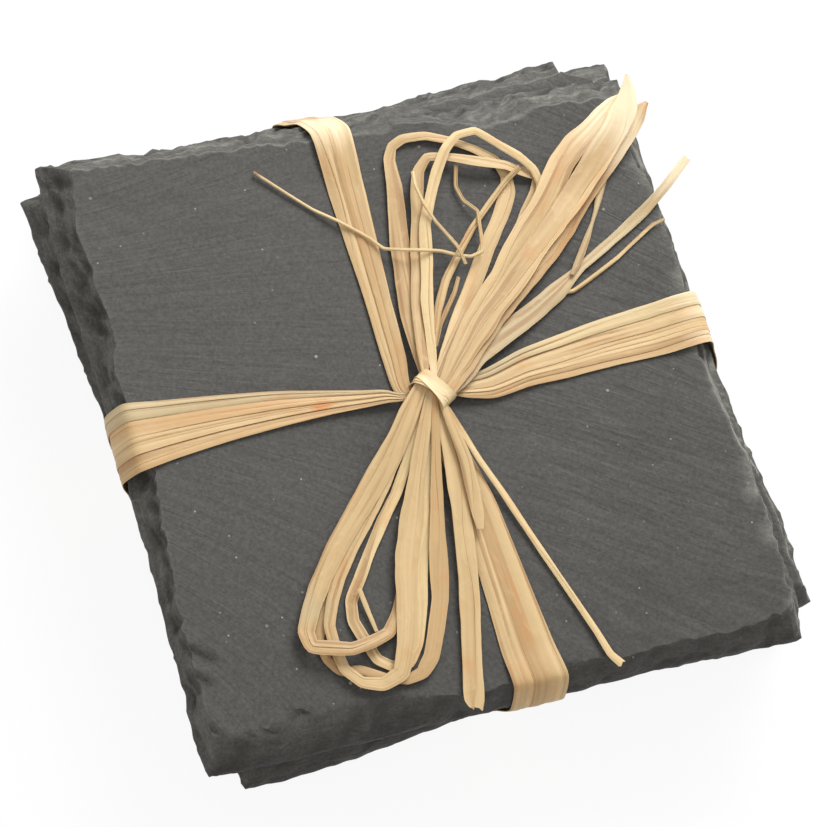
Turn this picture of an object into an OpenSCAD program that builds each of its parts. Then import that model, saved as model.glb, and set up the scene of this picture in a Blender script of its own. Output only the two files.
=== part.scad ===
// Set of split-slate drink coasters, stacked and tied both ways with raffia.
// Millimetres, +Z up. The origin is under the middle of the stack, on the
// surface that it stands on. +X is to the right and +Y to the back.

/* [Slates] */
// Side of a square slate
slate_side = 100; // [80:1:140]
// Thickness of a slate
slate_thick = 5; // [4:0.5:8]
// How much wider than that the second slate was cut
second_extra = 0.5; // [0:0.1:1]
// How much narrower the third slate was cut
third_short = 1.5; // [0:0.1:2]
// How much narrower the bottom slate was cut
bottom_short = 0.5; // [0:0.1:2]
// Turn of the second slate in the stack
second_turn = 4.9; // [3:0.1:6]
// Turn of the third slate
third_turn = 2; // [0:0.1:3]
// Turn of the bottom slate
bottom_turn = 0.8; // [0:0.1:2]

/* [Dressed edges] */
// Width of the chipped slope along the front edge
slope_front = 2.2; // [1.5:0.1:4]
// Width of the slope along the right edge
slope_right = 2; // [1.5:0.1:4]
// Width of the slope along the back edge
slope_back = 3.8; // [1.5:0.1:5]
// Width of the slope along the left edge
slope_left = 1.8; // [1.5:0.1:4]
// Narrowing of the edge at the underside
under_slope = 0.6; // [0.3:0.1:1.2]
// Deepest chip that the dressing takes out of an edge
chip_depth = 1.6; // [0:0.1:2.5]
// Width cut off a sound corner
corner_nick = 0.9; // [0.4:0.1:2]
// Length of the broken corner along the second slate's back edge
break_back = 5.9; // [3:0.1:9]
// Length of the broken corner along its right edge
break_right = 4.6; // [3:0.1:9]
// Depth of the notch inside the break
break_notch = 1.8; // [0.5:0.1:2.5]

/* [Pads] */
// Diameter of a felt pad
pad_d = 10; // [6:0.5:16]
// Thickness of a pad
pad_thick = 1; // [1:0.1:2]
// Distance from a slate's edge to the middle of its pad
pad_inset = 14; // [10:1:22]

/* [Tie] */
// Width of the tie across the stack at the left edge
across_left_w = 11.4; // [8:0.1:15]
// Width of the same tie at the right edge
across_right_w = 8.9; // [7:0.1:12]
// Width of the tie along the stack at the back edge
along_back_w = 6.3; // [5:0.1:9]
// Width of the same tie at the front edge
along_front_w = 8.7; // [6:0.1:12]
// Thickness of a spread raffia strip
strip_thin = 0.35; // [0.25:0.01:0.4]
// Thickness of a strip that is bunched up
strip_full = 0.65; // [0.5:0.01:0.7]
// Gap between two strips side by side
strip_gap = 0.1; // [0.05:0.01:0.2]
// Clearance of a strip over the slate below it
lay_gap = 0.1; // [0.05:0.01:0.2]

/* [Knot] */
// Width of the strip wrapped round the knot
wrap_w = 2.5; // [2:0.1:3]
// Thickness of that strip
wrap_thick = 0.4; // [0.3:0.05:0.5]
// Inner half width of the wrap
wrap_half = 3; // [2.9:0.1:4]
// Inner height of the wrap
wrap_high = 3.5; // [3.5:0.1:4.5]
// Width of a strip squeezed inside the knot
root_w = 0.6; // [0.5:0.01:0.7]
// Thickness of a strip squeezed inside the knot
root_thick = 0.7; // [0.5:0.01:0.7]
// Length of the squeezed bundle inside the knot
core_len = 1.9; // [1.5:0.1:2.3]
// Width of a tie strand where it passes the knot
waist_w = 0.52; // [0.4:0.01:0.6]

/* [Hidden] */

// The pitch of the stack and the height of each slate's underside
pitch = slate_thick + pad_thick;
z_bottom = pad_thick;
z_third = z_bottom + pitch;
z_second = z_third + pitch;
z_top = z_second + pitch;
lay_z = z_top + slate_thick;

// A slate: side, underside, turn, shift and the four corner offsets as shares
// of its side, seed of its chips, and the shares of its side that each corner
// loses before and after it. Corners and sides run front left, front right,
// back right, back left.
even_shares = [[0, 0], [0, 0], [0, 0], [0, 0]];
nick_share = corner_nick / slate_side;
nick_shares = [for (c = [0 : 3]) [nick_share, nick_share]];
break_shares = [[nick_share, nick_share], [nick_share, nick_share],
    [break_right / slate_side, break_back / slate_side], [nick_share, nick_share]];
top_shift_shares = [-0.017, -0.032];
second_shift_shares = [0.0045, -0.0055];
second_corner_shares = [[0.001, -0.002], [-0.006, -0.001], [0.009, 0.013], [-0.003, -0.01]];
third_shift_shares = [0.036, 0.032];
third_corner_shares = [[0, 0], [-0.005, 0], [0.014, 0.01], [0, 0]];
bottom_shift_shares = [0.036, 0.012];
slate_a = [slate_side, z_top, 0, top_shift_shares, even_shares, 3, nick_shares];
slate_b = [slate_side + second_extra, z_second, second_turn, second_shift_shares,
    second_corner_shares, 11, break_shares];
slate_c = [slate_side - third_short, z_third, third_turn, third_shift_shares,
    third_corner_shares, 23, nick_shares];
slate_d = [slate_side - bottom_short, z_bottom, bottom_turn, bottom_shift_shares,
    even_shares, 31, nick_shares];
slopes = [slope_front, slope_right, slope_back, slope_left];

// A slate's skin: height and slope of each ring as shares of the slate's
// thickness and of the edge's slope, and the share of a chip that it shows
skin_shares = [[0, 0, 0.3], [0.16, 0, 0.35], [0.45, 0.28, 0.75], [0.8, 0.72, 0.9], [1, 1, 1]];
side_points = 25;
chips_per_side = 11;
nicks_per_side = 34;
nick_part_share = 0.35;
notch_place_share = 0.25;

function mix(a, b, k) = a + (b - a) * k;
function unit(v) = v / norm(v);
function turned(p, a) = [p[0] * cos(a) - p[1] * sin(a), p[0] * sin(a) + p[1] * cos(a)];
function hash(k, seed) = let (v = sin(k * 127.1 + seed * 311.7) * 437.5) v - floor(v);
function wave(k, seed) = let (a = floor(k), f = k - a)
    mix(hash(a, seed), hash(a + 1, seed), f * f * (3 - 2 * f));
function inward(a, b) = let (d = unit(b - a)) [-d[1], d[0]];

signs = [[-1, -1], [1, -1], [1, 1], [-1, 1]];
function slate_corner(s, i) = let (k = i % 4)
    s[3] * s[0] + turned(signs[k] * s[0] / 2, s[2]) + s[4][k] * s[0];

// The corner moved in by the insets of the two sides that meet there
function inset_corner(s, i, insets) = let (k = i % 4, h = (i + 3) % 4,
        c = slate_corner(s, k))
    c + inward(c, slate_corner(s, k + 1)) * insets[k]
      + inward(slate_corner(s, h), c) * insets[h];

function chip(s, side, at, ring) =
    chip_depth * (mix(wave((side + at) * chips_per_side, s[5]),
                      wave((side + at) * chips_per_side, s[5] + ring), nick_part_share)
                  * (1 - nick_part_share)
                  + wave((side + at) * nicks_per_side, s[5] + ring) * nick_part_share);

// One ring of a slate's skin, as points round the four sides
function slate_ring(s, r) =
    let (row = skin_shares[r],
         base = r == 0 ? under_slope : 0,
         insets = [for (w = slopes) base + w * row[1]],
         z = s[1] + slate_thick * row[0])
    [for (side = [0 : 3])
        let (a = inset_corner(s, side, insets), b = inset_corner(s, side + 1, insets),
             n = inward(a, b),
             from = s[6][side][1], to = 1 - s[6][(side + 1) % 4][0])
        for (j = [0 : side_points - 1])
            let (at = mix(from, to, j / (side_points - 1)),
                 end = j == 0 || j == side_points - 1 ? 0 : 1,
                 p = mix(a, b, at) + n * chip(s, side, at, r) * row[2] * end,
                 q = notched(s, side, j, p, a, b))
            [q[0], q[1], z]];

// The first point of the side after a broken corner steps into the notch
function notched(s, side, j, p, a, b) =
    j == side_points - 1 && s[6][(side + 1) % 4][0] > 2 * nick_share
        ? p + inward(a, b) * break_notch * notch_place_share
        : p;

function ring_faces(rings, count) = [for (r = [0 : rings - 2], j = [0 : count - 1])
    let (k = (j + 1) % count, a = r * count, b = a + count)
    each [[a + j, b + j, b + k], [a + j, b + k, a + k]]];

module slate(s) {
    rings = len(skin_shares);
    count = 4 * side_points;
    points = [for (r = [0 : rings - 1]) each slate_ring(s, r)];
    under = [for (j = [0 : count - 1]) j];
    over = [for (j = [0 : count - 1]) rings * count - 1 - j];
    color([0.36, 0.36, 0.35])
        polyhedron(points, concat([under, over], ring_faces(rings, count)));
}

module pad(s, i) {
    place = s[0] / 2 - pad_inset;
    spot = s[3] * s[0] + turned(signs[i] * place, s[2]);
    color([0.16, 0.16, 0.17])
        translate([spot[0], spot[1], s[1] - pad_thick])
            cylinder(h = pad_thick, d = pad_d, $fn = 48);
}

// A raffia strip's section, as shares of its width and thickness
flat_shares = [[-0.5, -0.22], [-0.3, -0.5], [0.3, -0.5], [0.5, -0.22],
    [0.5, 0.22], [0.3, 0.5], [-0.3, 0.5], [-0.5, 0.22]];
// A strip keeps its stuff as it bunches, and a fibre is nearly round
spread_w = 2.6;
fibre_round_share = 0.8;
function thickness(w) =
    max(strip_thin, min(strip_full, strip_thin * spread_w / w, w * fibre_round_share));

// A strip swept through its stations: [centre, side vector, up vector, width, thickness]
module strip_body(st, closed = false) {
    n = len(flat_shares);
    count = len(st);
    points = [for (s = st) for (f = flat_shares) s[0] + s[1] * f[0] * s[3] + s[2] * f[1] * s[4]];
    last = closed ? count - 1 : count - 2;
    walls = [for (r = [0 : last], j = [0 : n - 1])
        let (k = (j + 1) % n, a = r * n, b = ((r + 1) % count) * n)
        each [[a + j, b + k, b + j], [a + j, a + k, b + k]]];
    caps = closed ? [] : [[for (j = [0 : n - 1]) n - 1 - j], [for (j = [0 : n - 1]) (count - 1) * n + j]];
    polyhedron(points, concat(caps, walls));
}

// Knot: its middle, the way the bundle runs through it and the way the wrap runs
knot_place_shares = [-0.023, -0.033];
knot_xy = knot_place_shares * slate_side;
knot_turn = 34.5;
along_d = [cos(knot_turn), sin(knot_turn), 0];
along_e = [sin(knot_turn), -cos(knot_turn), 0];
wrap_steps = 24;
wrap_power = 3;
wrap_mid_z = lay_z + lay_gap / 2 + wrap_thick + wrap_high / 2;
root_rows = 2;
root_cols = 6;
root_pitch = 0.82;
core_w = root_cols * root_pitch;
core_high = root_rows * (root_thick + strip_gap);
core_clear = 0.4;
core_chamfer = 0.35;
core_z = wrap_mid_z + wrap_high / 2 - core_clear - core_high;

function knot_point(d, e, z) = [knot_xy[0], knot_xy[1], z] + along_d * d + along_e * e;
function power(v, k) = sign(v) * pow(abs(v), k);

module knot_wrap() {
    half = wrap_half + wrap_thick / 2;
    high = wrap_high / 2 + wrap_thick / 2;
    ring = [for (i = [0 : wrap_steps - 1]) let (a = 360 * i / wrap_steps)
        [half * power(cos(a), 2 / wrap_power), high * power(sin(a), 2 / wrap_power)]];
    st = [for (i = [0 : wrap_steps - 1])
        let (p = ring[i], q = ring[(i + 1) % wrap_steps], o = ring[(i + wrap_steps - 1) % wrap_steps],
             t = unit(q - o))
        [knot_point(0, p[0], wrap_mid_z + p[1]), along_d,
         along_e * t[1] - [0, 0, t[0]], wrap_w, wrap_thick]];
    color([0.86, 0.73, 0.53]) strip_body(st, closed = true);
}

module knot_core() {
    w = core_w / 2;
    c = core_chamfer;
    color([0.78, 0.64, 0.44])
        translate([knot_xy[0], knot_xy[1], core_z])
            rotate([90, 0, knot_turn + 90])
                linear_extrude(core_len, center = true)
                    polygon([[-w, 0], [w, 0], [w, core_high - c], [w - c, core_high],
                        [c - w, core_high], [-w, core_high - c]]);
}

// A free strip from the knot: side of the knot (1 or -1), column and row of its root
function root_spot(side, col, row, d) = knot_point(side * d,
    (col - (root_cols - 1) / 2) * root_pitch,
    core_z + (row + 0.5) * (root_thick + strip_gap));
root_out = wrap_w / 2 + strip_gap;
function root(side, col, row) = [
    concat(root_spot(side, col, row, core_len / 2), [root_w, root_thick]),
    concat(root_spot(side, col, row, root_out), [root_w, root_thick])];

// Route points are [x, y, height over the top slate, width]
function laid(route) = [for (p = route) [p[0], p[1], lay_z + p[2], p[3], thickness(p[3])]];
function swept(pts) = let (n = len(pts))
    [for (i = [0 : n - 1])
        let (p = pts[i], q = pts[min(i + 1, n - 1)], o = pts[max(i - 1, 0)],
             t = unit([q[0] - o[0], q[1] - o[1], q[2] - o[2]]),
             s = unit(cross(t, [0, 0, 1])), u = cross(s, t))
        [[p[0], p[1], p[2]], s, u, p[3], p[4]]];
module strip(pts, tint) color(tint) strip_body(swept(pts));

pale = [0.90, 0.80, 0.62];
straw = [0.86, 0.73, 0.53];
tan_tint = [0.80, 0.65, 0.44];

// Ties: each strand is a closed ring that lies on the top slate, bends down
// over every edge of the stack and runs back underneath it
across_strands = 4;
along_strands = 3;
across_edge_shares = [-0.023, 0.012];
along_edge_shares = [0.015, -0.057];
// Stations of a tie from the knot out to an edge: share of the way, share of
// the edge width, sideways bow as a share of that width, lift off the slate as
// a share of the lift at the knot
fan_left_shares = [[0.07, 0.2, 0, 1], [0.14, 0.21, 0.04, 1], [0.22, 0.25, 0.06, 0.6],
    [0.34, 0.36, 0.09, 0.2], [0.5, 0.52, 0.11, 0], [0.7, 0.69, 0.09, 0], [0.9, 0.88, 0.04, 0]];
fan_right_shares = [[0.09, 0.27, 0, 1], [0.2, 0.46, 0.02, 0.35], [0.34, 0.72, 0.05, 0.15],
    [0.48, 0.83, 0.02, 0], [0.62, 0.87, 0.03, 0], [0.8, 0.96, 0.01, 0]];
fan_back_shares = [[0.12, 0.6, 0, 0], [0.34, 0.7, 0, 0], [0.54, 0.8, 0, 0], [0.76, 0.92, 0, 0]];
fan_front_shares = [[0.17, 0.55, 0.09, 0], [0.34, 0.68, 0.12, 0], [0.52, 0.77, 0.08, 0],
    [0.7, 0.85, 0.04, 0], [0.88, 0.95, 0, 0]];
across_lift = strip_full + strip_gap + lay_gap;
along_pass = wrap_w / 2 + strip_gap * 3 + 1.5 * (waist_w + strip_gap) + waist_w / 4;
along_reach = wrap_half + wrap_thick;
widest_share = skin_shares[1][0];

// Where a slate's edge lies along the run of a tie, at a sideways place
function edge_at(s, axis, way, place) =
    let (i = axis == 0 ? (way > 0 ? 1 : 3) : (way > 0 ? 2 : 0),
         a = slate_corner(s, i), b = slate_corner(s, i + 1), o = 1 - axis)
    a[axis] + (b[axis] - a[axis]) * (place - a[o]) / (b[o] - a[o]);

stack = [slate_a, slate_b, slate_c, slate_d];
edge_z = [for (s = stack) s[1] + slate_thick * widest_share];

// The edges as a stretched strip meets them: it bridges any that lie back
function taut(e) = let (n = len(e) - 1) [for (i = [0 : n])
    max([for (j = [0 : i], k = [i : n])
        j == k ? e[j] : mix(e[j], e[k], (edge_z[i] - edge_z[j]) / (edge_z[k] - edge_z[j]))])];

// Side profile of a strand: [run, height] pairs from the top edge down
function side_profile(axis, way, place, slope, under_z) =
    let (e = taut([for (s = stack) way * edge_at(s, axis, way, place)]),
         low = e[len(e) - 1])
    concat([[way * (e[0] - slope + lay_gap / 2), lay_z + lay_gap]],
           [for (i = [0 : len(e) - 1]) [way * (e[i] + lay_gap), edge_z[i]]],
           [[way * (low - under_slope), under_z]]);

function flipped(v) = [for (i = [len(v) - 1 : -1 : 0]) v[i]];

// A strand's stations from the knot out to an edge and down to the underside:
// [run, height, place, width]
function arm(axis, way, start, edge_place, edge_w, fan, slope, lift, under_z, k, n) =
    let (slot = (k - (n - 1) / 2) / n,
         reach = side_profile(axis, way, edge_place + slot * edge_w, slope, under_z),
         w1 = edge_w / n - strip_gap)
    concat(
        [for (f = fan) [mix(start[axis], reach[0][0], f[0]), lay_z + lay_gap + lift * f[3],
            mix(start[1 - axis], edge_place, f[0]) + f[2] * edge_w + slot * edge_w * f[1],
            edge_w * f[1] / n - strip_gap]],
        [for (p = reach) [p[0], p[1], edge_place + slot * edge_w, w1]]);

// A ring of stations turned into a strand with its inner face on them
module strand(axis, st, tint) {
    n = len(st);
    pts = [for (i = [0 : n - 1])
        let (p = st[i], q = st[(i + 1) % n], o = st[(i + n - 1) % n],
             a = unit([p[0] - o[0], p[1] - o[1]]), b = unit([q[0] - p[0], q[1] - p[1]]),
             m = unit(a + b), grow = 1 / max(0.5, m * a),
             u = axis == 0 ? [-m[1], 0, m[0]] : [0, -m[1], m[0]],
             side = axis == 0 ? [0, 1, 0] : [-1, 0, 0],
             t = thickness(p[3]),
             c = axis == 0 ? [p[0], p[2], p[1]] : [p[2], p[0], p[1]])
        [c + u * t / 2 * grow, -side, u, p[3], t * grow]];
    color(tint) strip_body(pts, closed = true);
}

across_under_z = z_bottom - lay_gap * 0.75;
along_under_z = across_under_z - strip_thin - strip_gap;

// Across the stack: through the knot's wrap, over the other tie
function across_ring(k) =
    let (n = across_strands, waist = waist_w + strip_gap,
         start = knot_xy,
         left = arm(0, -1, start, across_edge_shares[0] * slate_side, across_left_w,
                    fan_left_shares, slope_left, across_lift, across_under_z, k, n),
         right = arm(0, 1, start, across_edge_shares[1] * slate_side, across_right_w,
                     fan_right_shares, slope_right, across_lift, across_under_z, k, n),
         middle = [[start[0], lay_z + lay_gap + across_lift,
                    start[1] + (k - (n - 1) / 2) * waist, waist_w]])
    concat(flipped(left), middle, right);

// Along the stack: beside the wrap, on the slate
along_a = knot_point(-along_pass, -along_reach, 0);
along_b = knot_point(-along_pass, 0, 0);
along_c = knot_point(-along_pass, along_reach, 0);
function along_ring(k) =
    let (n = along_strands, waist = (waist_w * 1.3 + strip_gap) / sin(90 - knot_turn),
         off = (k - (n - 1) / 2) * waist, w = waist - strip_gap,
         back = arm(1, 1, [along_a[0], along_a[1]], along_edge_shares[1] * slate_side, along_back_w,
                    fan_back_shares, slope_back, 0, along_under_z, k, n),
         front = arm(1, -1, [along_c[0], along_c[1]], along_edge_shares[0] * slate_side, along_front_w,
                     fan_front_shares, slope_front, 0, along_under_z, k, n),
         middle = [for (p = [along_c, along_b, along_a]) [p[1], lay_z + lay_gap, p[0] + off, w]])
    concat(flipped(front), middle, back);

// Routes of the free strips, chosen along the tied bow
upper_outer_route = [[-3.5, 3.5, 1.8, 1.6], [-2, 10, 1, 3], [0, 22, 0.6, 3], [1, 27, 0.6, 2.8],
    [2, 32, 0.6, 2.4], [2.5, 36.5, 0.6, 2], [3.5, 38.5, 0.7, 1.6], [5.5, 39.5, 0.8, 1.5],
    [9.5, 39.5, 0.8, 1.4], [13.5, 38, 0.7, 1.4], [17, 36, 0.6, 1.4], [20, 33.5, 0.5, 1.6],
    [21, 30.5, 0.4, 2], [20.5, 28, 0.4, 2.5], [18, 24, 0.4, 2.7], [14.5, 19.5, 0.4, 2.6],
    [10.5, 14, 0.4, 2.5], [7, 9.5, 0.5, 2.4], [2.5, 4, 1.2, 0.9]];
upper_middle_route = [[-2.5, 4, 2.4, 1.2], [-0.5, 10, 1.7, 2.4], [1.5, 17, 1.3, 2.5],
    [3.5, 23.5, 1.2, 2.4], [5, 29.5, 1.2, 2], [6.5, 33.5, 1.2, 1.8], [8.5, 35.5, 1.4, 1.5],
    [11.5, 35, 1.6, 1.5], [16, 33.5, 1.7, 1.8], [21, 32, 1.5, 1.7], [24, 30.5, 1, 1.7],
    [26, 29.5, 0.6, 1.5], [25, 27, 0.35, 1.7], [22.5, 24, 0.35, 1.7], [18.5, 18.5, 0.4, 1.7],
    [14, 14, 0.4, 1.8], [10, 9.5, 0.55, 1.8], [4, 4, 1.3, 0.9]];
upper_inner_route = [[-1.5, 4, 3, 1.2], [1, 11.5, 2.4, 1.8], [3, 18, 2.1, 1.9],
    [4.5, 24, 2.1, 1.9], [6.5, 28, 2.1, 1.8], [9, 32.5, 2.3, 1.7], [11.5, 36, 2.5, 1.5],
    [14, 38, 2.3, 1.3], [17.5, 38.5, 1.9, 1.3], [21, 35.5, 1.7, 1.4], [23.5, 33, 1.9, 1.4],
    [25.5, 30.5, 1.5, 1.3], [26, 28, 1.05, 1.3], [25, 25.5, 1, 1.3], [22.5, 22, 1, 1.4],
    [18, 17, 1.05, 1.4], [13.5, 12, 1.1, 1.4], [9, 7.5, 1.35, 1.4], [4, 3, 2.05, 0.9]];
cross_route = [[0, 5, 2, 0.9], [2.5, 9.5, 1.2, 1.2], [5.5, 14.5, 0.9, 1.3], [12.5, 22.5, 0.9, 0.9],
    [20.5, 29.5, 1.1, 0.9], [23, 31, 2.4, 0.8]];
tail_left_route = [[2, 2.5, 2.7, 1.3], [6.5, 6.5, 2.3, 3], [12.5, 11.5, 1.8, 3.6],
    [22, 21.5, 1.75, 4.2], [30.5, 30.5, 1.6, 4], [38, 37, 1.5, 2.4], [43.5, 40.5, 1.8, 0.6]];
tail_middle_route = [[3, 2, 3.3, 1.3], [8, 5.5, 2.8, 3.2], [14, 10, 2.4, 3.9],
    [25.5, 19.5, 2.2, 4.4], [35.5, 30, 2.3, 4.4], [42, 38, 2.9, 3.4], [45.5, 43, 3.6, 0.6]];
tail_right_route = [[4.5, 1.5, 2.4, 1.3], [10.5, 5, 1.8, 2.6], [16.5, 9, 1.35, 2.9],
    [29.5, 19.5, 0.9, 2.9], [39.5, 29, 1, 2.6], [46.5, 36.5, 1.7, 1.6], [48.5, 38.5, 2.2, 0.8]];
tail_pale_route = [[3.5, -1.5, 1.7, 1.6], [9, 1.5, 1.25, 3.7], [14, 4, 0.85, 4],
    [19.5, 6.5, 0.6, 3.9], [24, 9.5, 0.5, 3], [28, 12, 0.5, 1.8], [39, 18, 0.6, 1.6],
    [46.5, 23.5, 1.2, 1.5], [52, 28, 2.4, 1.4]];
fibre_long_right_route = [[26, 8.5, 0.5, 0.7], [31.5, 12, 0.4, 0.6], [41, 16.5, 0.5, 0.5],
    [45, 18.5, 0.8, 0.4]];
fibre_branch_route = [[27, 11.5, 1.1, 0.7], [29, 14.5, 0.9, 0.8], [34, 21, 0.6, 1.1],
    [37.5, 26.5, 0.4, 0.6]];
lower_outer_route = [[-8.5, -7.5, 2.7, 1.3], [-12, -11.5, 2, 3], [-16, -15.5, 1.6, 3.6],
    [-20.5, -20, 1.45, 3.6], [-24.5, -24.5, 1.45, 3.5], [-28, -29, 1.45, 3.4],
    [-30.5, -33, 1.45, 3.3], [-32.5, -36, 1.6, 2.6], [-32, -38.5, 1.8, 2], [-29.5, -39.5, 2.2, 1.9],
    [-26.5, -40.5, 2.3, 1.9], [-23, -40, 1.9, 1.9], [-20, -39, 1.2, 1.9], [-17.5, -36, 0.8, 1.7],
    [-15, -31.5, 0.5, 1.7], [-12, -25.5, 0.4, 1.7], [-9.5, -19.5, 0.5, 1.7], [-7.5, -13.5, 1, 1.4],
    [-5.5, -9.5, 1.7, 0.9]];
lower_second_route = [[-8, -8.5, 2.1, 1.1], [-11.5, -12.5, 1.5, 2.7], [-15, -16.5, 1.15, 3.2],
    [-18.5, -20.5, 0.95, 3.2], [-22, -25, 0.95, 2.6], [-25, -29, 1, 2], [-27, -32.5, 1, 1.9],
    [-28.5, -36, 1, 1.8], [-28.5, -40, 1, 1.8], [-28, -43, 1, 1.8], [-26, -45.5, 1.1, 1.8],
    [-23, -46.5, 1.2, 2], [-20, -45.5, 1.5, 2.4], [-18, -41.5, 1.6, 2.8], [-16, -35.5, 1.4, 3.2],
    [-14, -28.5, 1.3, 3.4], [-11.5, -22.5, 1.4, 3.4], [-9, -16.5, 1.9, 2.6], [-6, -11, 2.7, 1.3]];
lower_third_route = [[-7, -9.5, 1.7, 1], [-9.5, -13.5, 1.1, 1.4], [-12.5, -18, 0.8, 1.7],
    [-15.5, -21.5, 0.6, 1.8], [-19, -26, 0.5, 1.8], [-21.5, -29.5, 0.4, 1.8], [-24, -33, 0.4, 1.8],
    [-24.5, -36, 0.4, 1.8], [-23.5, -39.5, 0.4, 1.8], [-22.5, -42.5, 0.4, 1.7],
    [-20.5, -44, 0.4, 1.7], [-18, -44, 0.4, 1.8], [-16, -41.5, 0.4, 1.9], [-13.5, -35.5, 0.4, 2],
    [-11.5, -29, 0.5, 2.1], [-9, -22, 0.9, 2], [-6.5, -15.5, 1.4, 1.5], [-4.5, -10.5, 2, 0.9]];
lower_under_route = [[-10, -11.5, 0.8, 1.1], [-14, -16.5, 0.5, 1.3], [-19, -21.5, 0.4, 1.4],
    [-23.5, -26.5, 0.4, 1.4], [-26.5, -30.5, 0.4, 1.4], [-29, -34.5, 0.4, 1.4],
    [-30.5, -38, 0.4, 1.5], [-30, -41, 0.4, 1.5], [-28.5, -43, 0.4, 1.4], [-25.5, -43.5, 0.4, 1.4],
    [-22, -45.5, 0.4, 1.4], [-19, -46.5, 0.5, 1.6], [-16.5, -46, 0.7, 2], [-14.5, -44, 0.8, 2.3],
    [-12.5, -40, 0.9, 2.6], [-10.5, -35.5, 0.9, 2.7], [-9, -29.5, 1, 2.7], [-7.5, -23.5, 1.35, 2.2],
    [-6, -17.5, 1.9, 1.7], [-4.5, -11.5, 2.75, 1.1]];
lower_flat_route = [[-3, -11.5, 1.9, 1.2], [-3.5, -18, 1.4, 2.1], [-4, -24, 1.2, 2.7],
    [-6.5, -36.5, 1, 3.1], [-9, -48, 1.1, 3.2], [-9.5, -51, 1.2, 2.8], [-10, -53.5, 1, 2]];
lower_short_route = [[-2.5, -12, 2.6, 1], [-2, -16.5, 2.2, 1.5], [-2, -25, 1.8, 1.5],
    [-2, -27.5, 1.7, 0.7]];
lower_round_route = [[0, -10.5, 2, 1], [2, -15.5, 1.3, 1], [4, -20.5, 0.85, 1],
    [7.5, -31, 0.6, 1], [12.5, -46, 0.6, 1], [13.5, -49.5, 0.6, 1.1], [15, -51.5, 0.4, 1.3]];
fibre_long_left_route = [[13, 33.5, 1, 0.5], [12, 30, 0.7, 0.5], [12.5, 27.5, 0.8, 0.5],
    [14, 25, 1.5, 0.5], [13.5, 22.5, 1.8, 0.5], [12.5, 18, 1.8, 0.5], [10.5, 17.5, 1.8, 0.5],
    [8.5, 18, 1.9, 0.5], [5.5, 19, 2.5, 0.5], [2.5, 19.5, 2.9, 0.5], [-1, 20.5, 2.2, 0.5],
    [-3, 21.5, 1.2, 0.5], [-4.5, 23.5, 0.9, 0.5], [-9, 27.5, 0.85, 0.5], [-12, 30, 0.4, 0.5],
    [-20, 38, 0.5, 0.4]];
fibre_curl_route = [[5, 33, 2.4, 0.5], [4.5, 30.5, 2.9, 0.5], [5, 27, 3, 0.5], [6, 24, 2.9, 0.5],
    [7.5, 21.5, 2.4, 0.5], [8.5, 19, 2.7, 0.5], [9, 16, 2.4, 0.4]];
fibre_short_route = [[0.5, 4, 1.3, 0.6], [2.5, 7.5, 0.7, 0.7], [6.5, 12.5, 0.5, 0.7],
    [8, 15, 0.4, 0.5]];
fibre_lower_route = [[-22.5, -31.5, 1.1, 0.7], [-22, -35, 0.6, 0.7], [-21.5, -38.5, 0.5, 0.5]];

// A loop leaves the knot and comes back to it; a tail leaves it and ends free
function loop_path(route, side, from, to) =
    concat(root(side, from[0], from[1]), laid(route), flipped(root(side, to[0], to[1])));
function tail_path(route, side, from) = concat(root(side, from[0], from[1]), laid(route));

module slate_top() slate(slate_a);
module slate_second() slate(slate_b);
module slate_third() slate(slate_c);
module slate_bottom() slate(slate_d);
module band_across(k, tint) strand(0, across_ring(k), tint);
module band_along(k, tint) strand(1, along_ring(k), tint);
module loop_upper_outer() strip(loop_path(upper_outer_route, 1, [0, 0], [2, 0]), straw);
module loop_upper_middle() strip(loop_path(upper_middle_route, 1, [0, 1], [3, 0]), straw);
module loop_upper_inner() strip(loop_path(upper_inner_route, 1, [2, 1], [4, 0]), pale);
module strand_cross() strip(tail_path(cross_route, 1, [1, 0]), tan_tint);
module tail_left() strip(tail_path(tail_left_route, 1, [3, 1]), straw);
module tail_middle() strip(tail_path(tail_middle_route, 1, [4, 1]), straw);
module tail_right() strip(tail_path(tail_right_route, 1, [5, 1]), tan_tint);
module tail_pale() strip(tail_path(tail_pale_route, 1, [5, 0]), pale);
module fibre_long_right() strip(laid(fibre_long_right_route), straw);
module fibre_branch() strip(laid(fibre_branch_route), pale);
module loop_lower_outer() strip(loop_path(lower_outer_route, -1, [0, 1], [2, 0]), straw);
module loop_lower_second() strip(loop_path(lower_second_route, -1, [1, 1], [2, 1]), straw);
module loop_lower_third() strip(loop_path(lower_third_route, -1, [1, 0], [3, 0]), pale);
module loop_lower_under() strip(loop_path(lower_under_route, -1, [0, 0], [3, 1]), tan_tint);
module tail_lower_flat() strip(tail_path(lower_flat_route, -1, [4, 0]), straw);
module tail_lower_short() strip(tail_path(lower_short_route, -1, [4, 1]), tan_tint);
module tail_lower_round() strip(tail_path(lower_round_route, -1, [5, 0]), tan_tint);
module fibre_long_left() strip(laid(fibre_long_left_route), straw);
module fibre_curl() strip(laid(fibre_curl_route), pale);
module fibre_short() strip(laid(fibre_short_route), tan_tint);
module fibre_lower() strip(laid(fibre_lower_route), straw);

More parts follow.
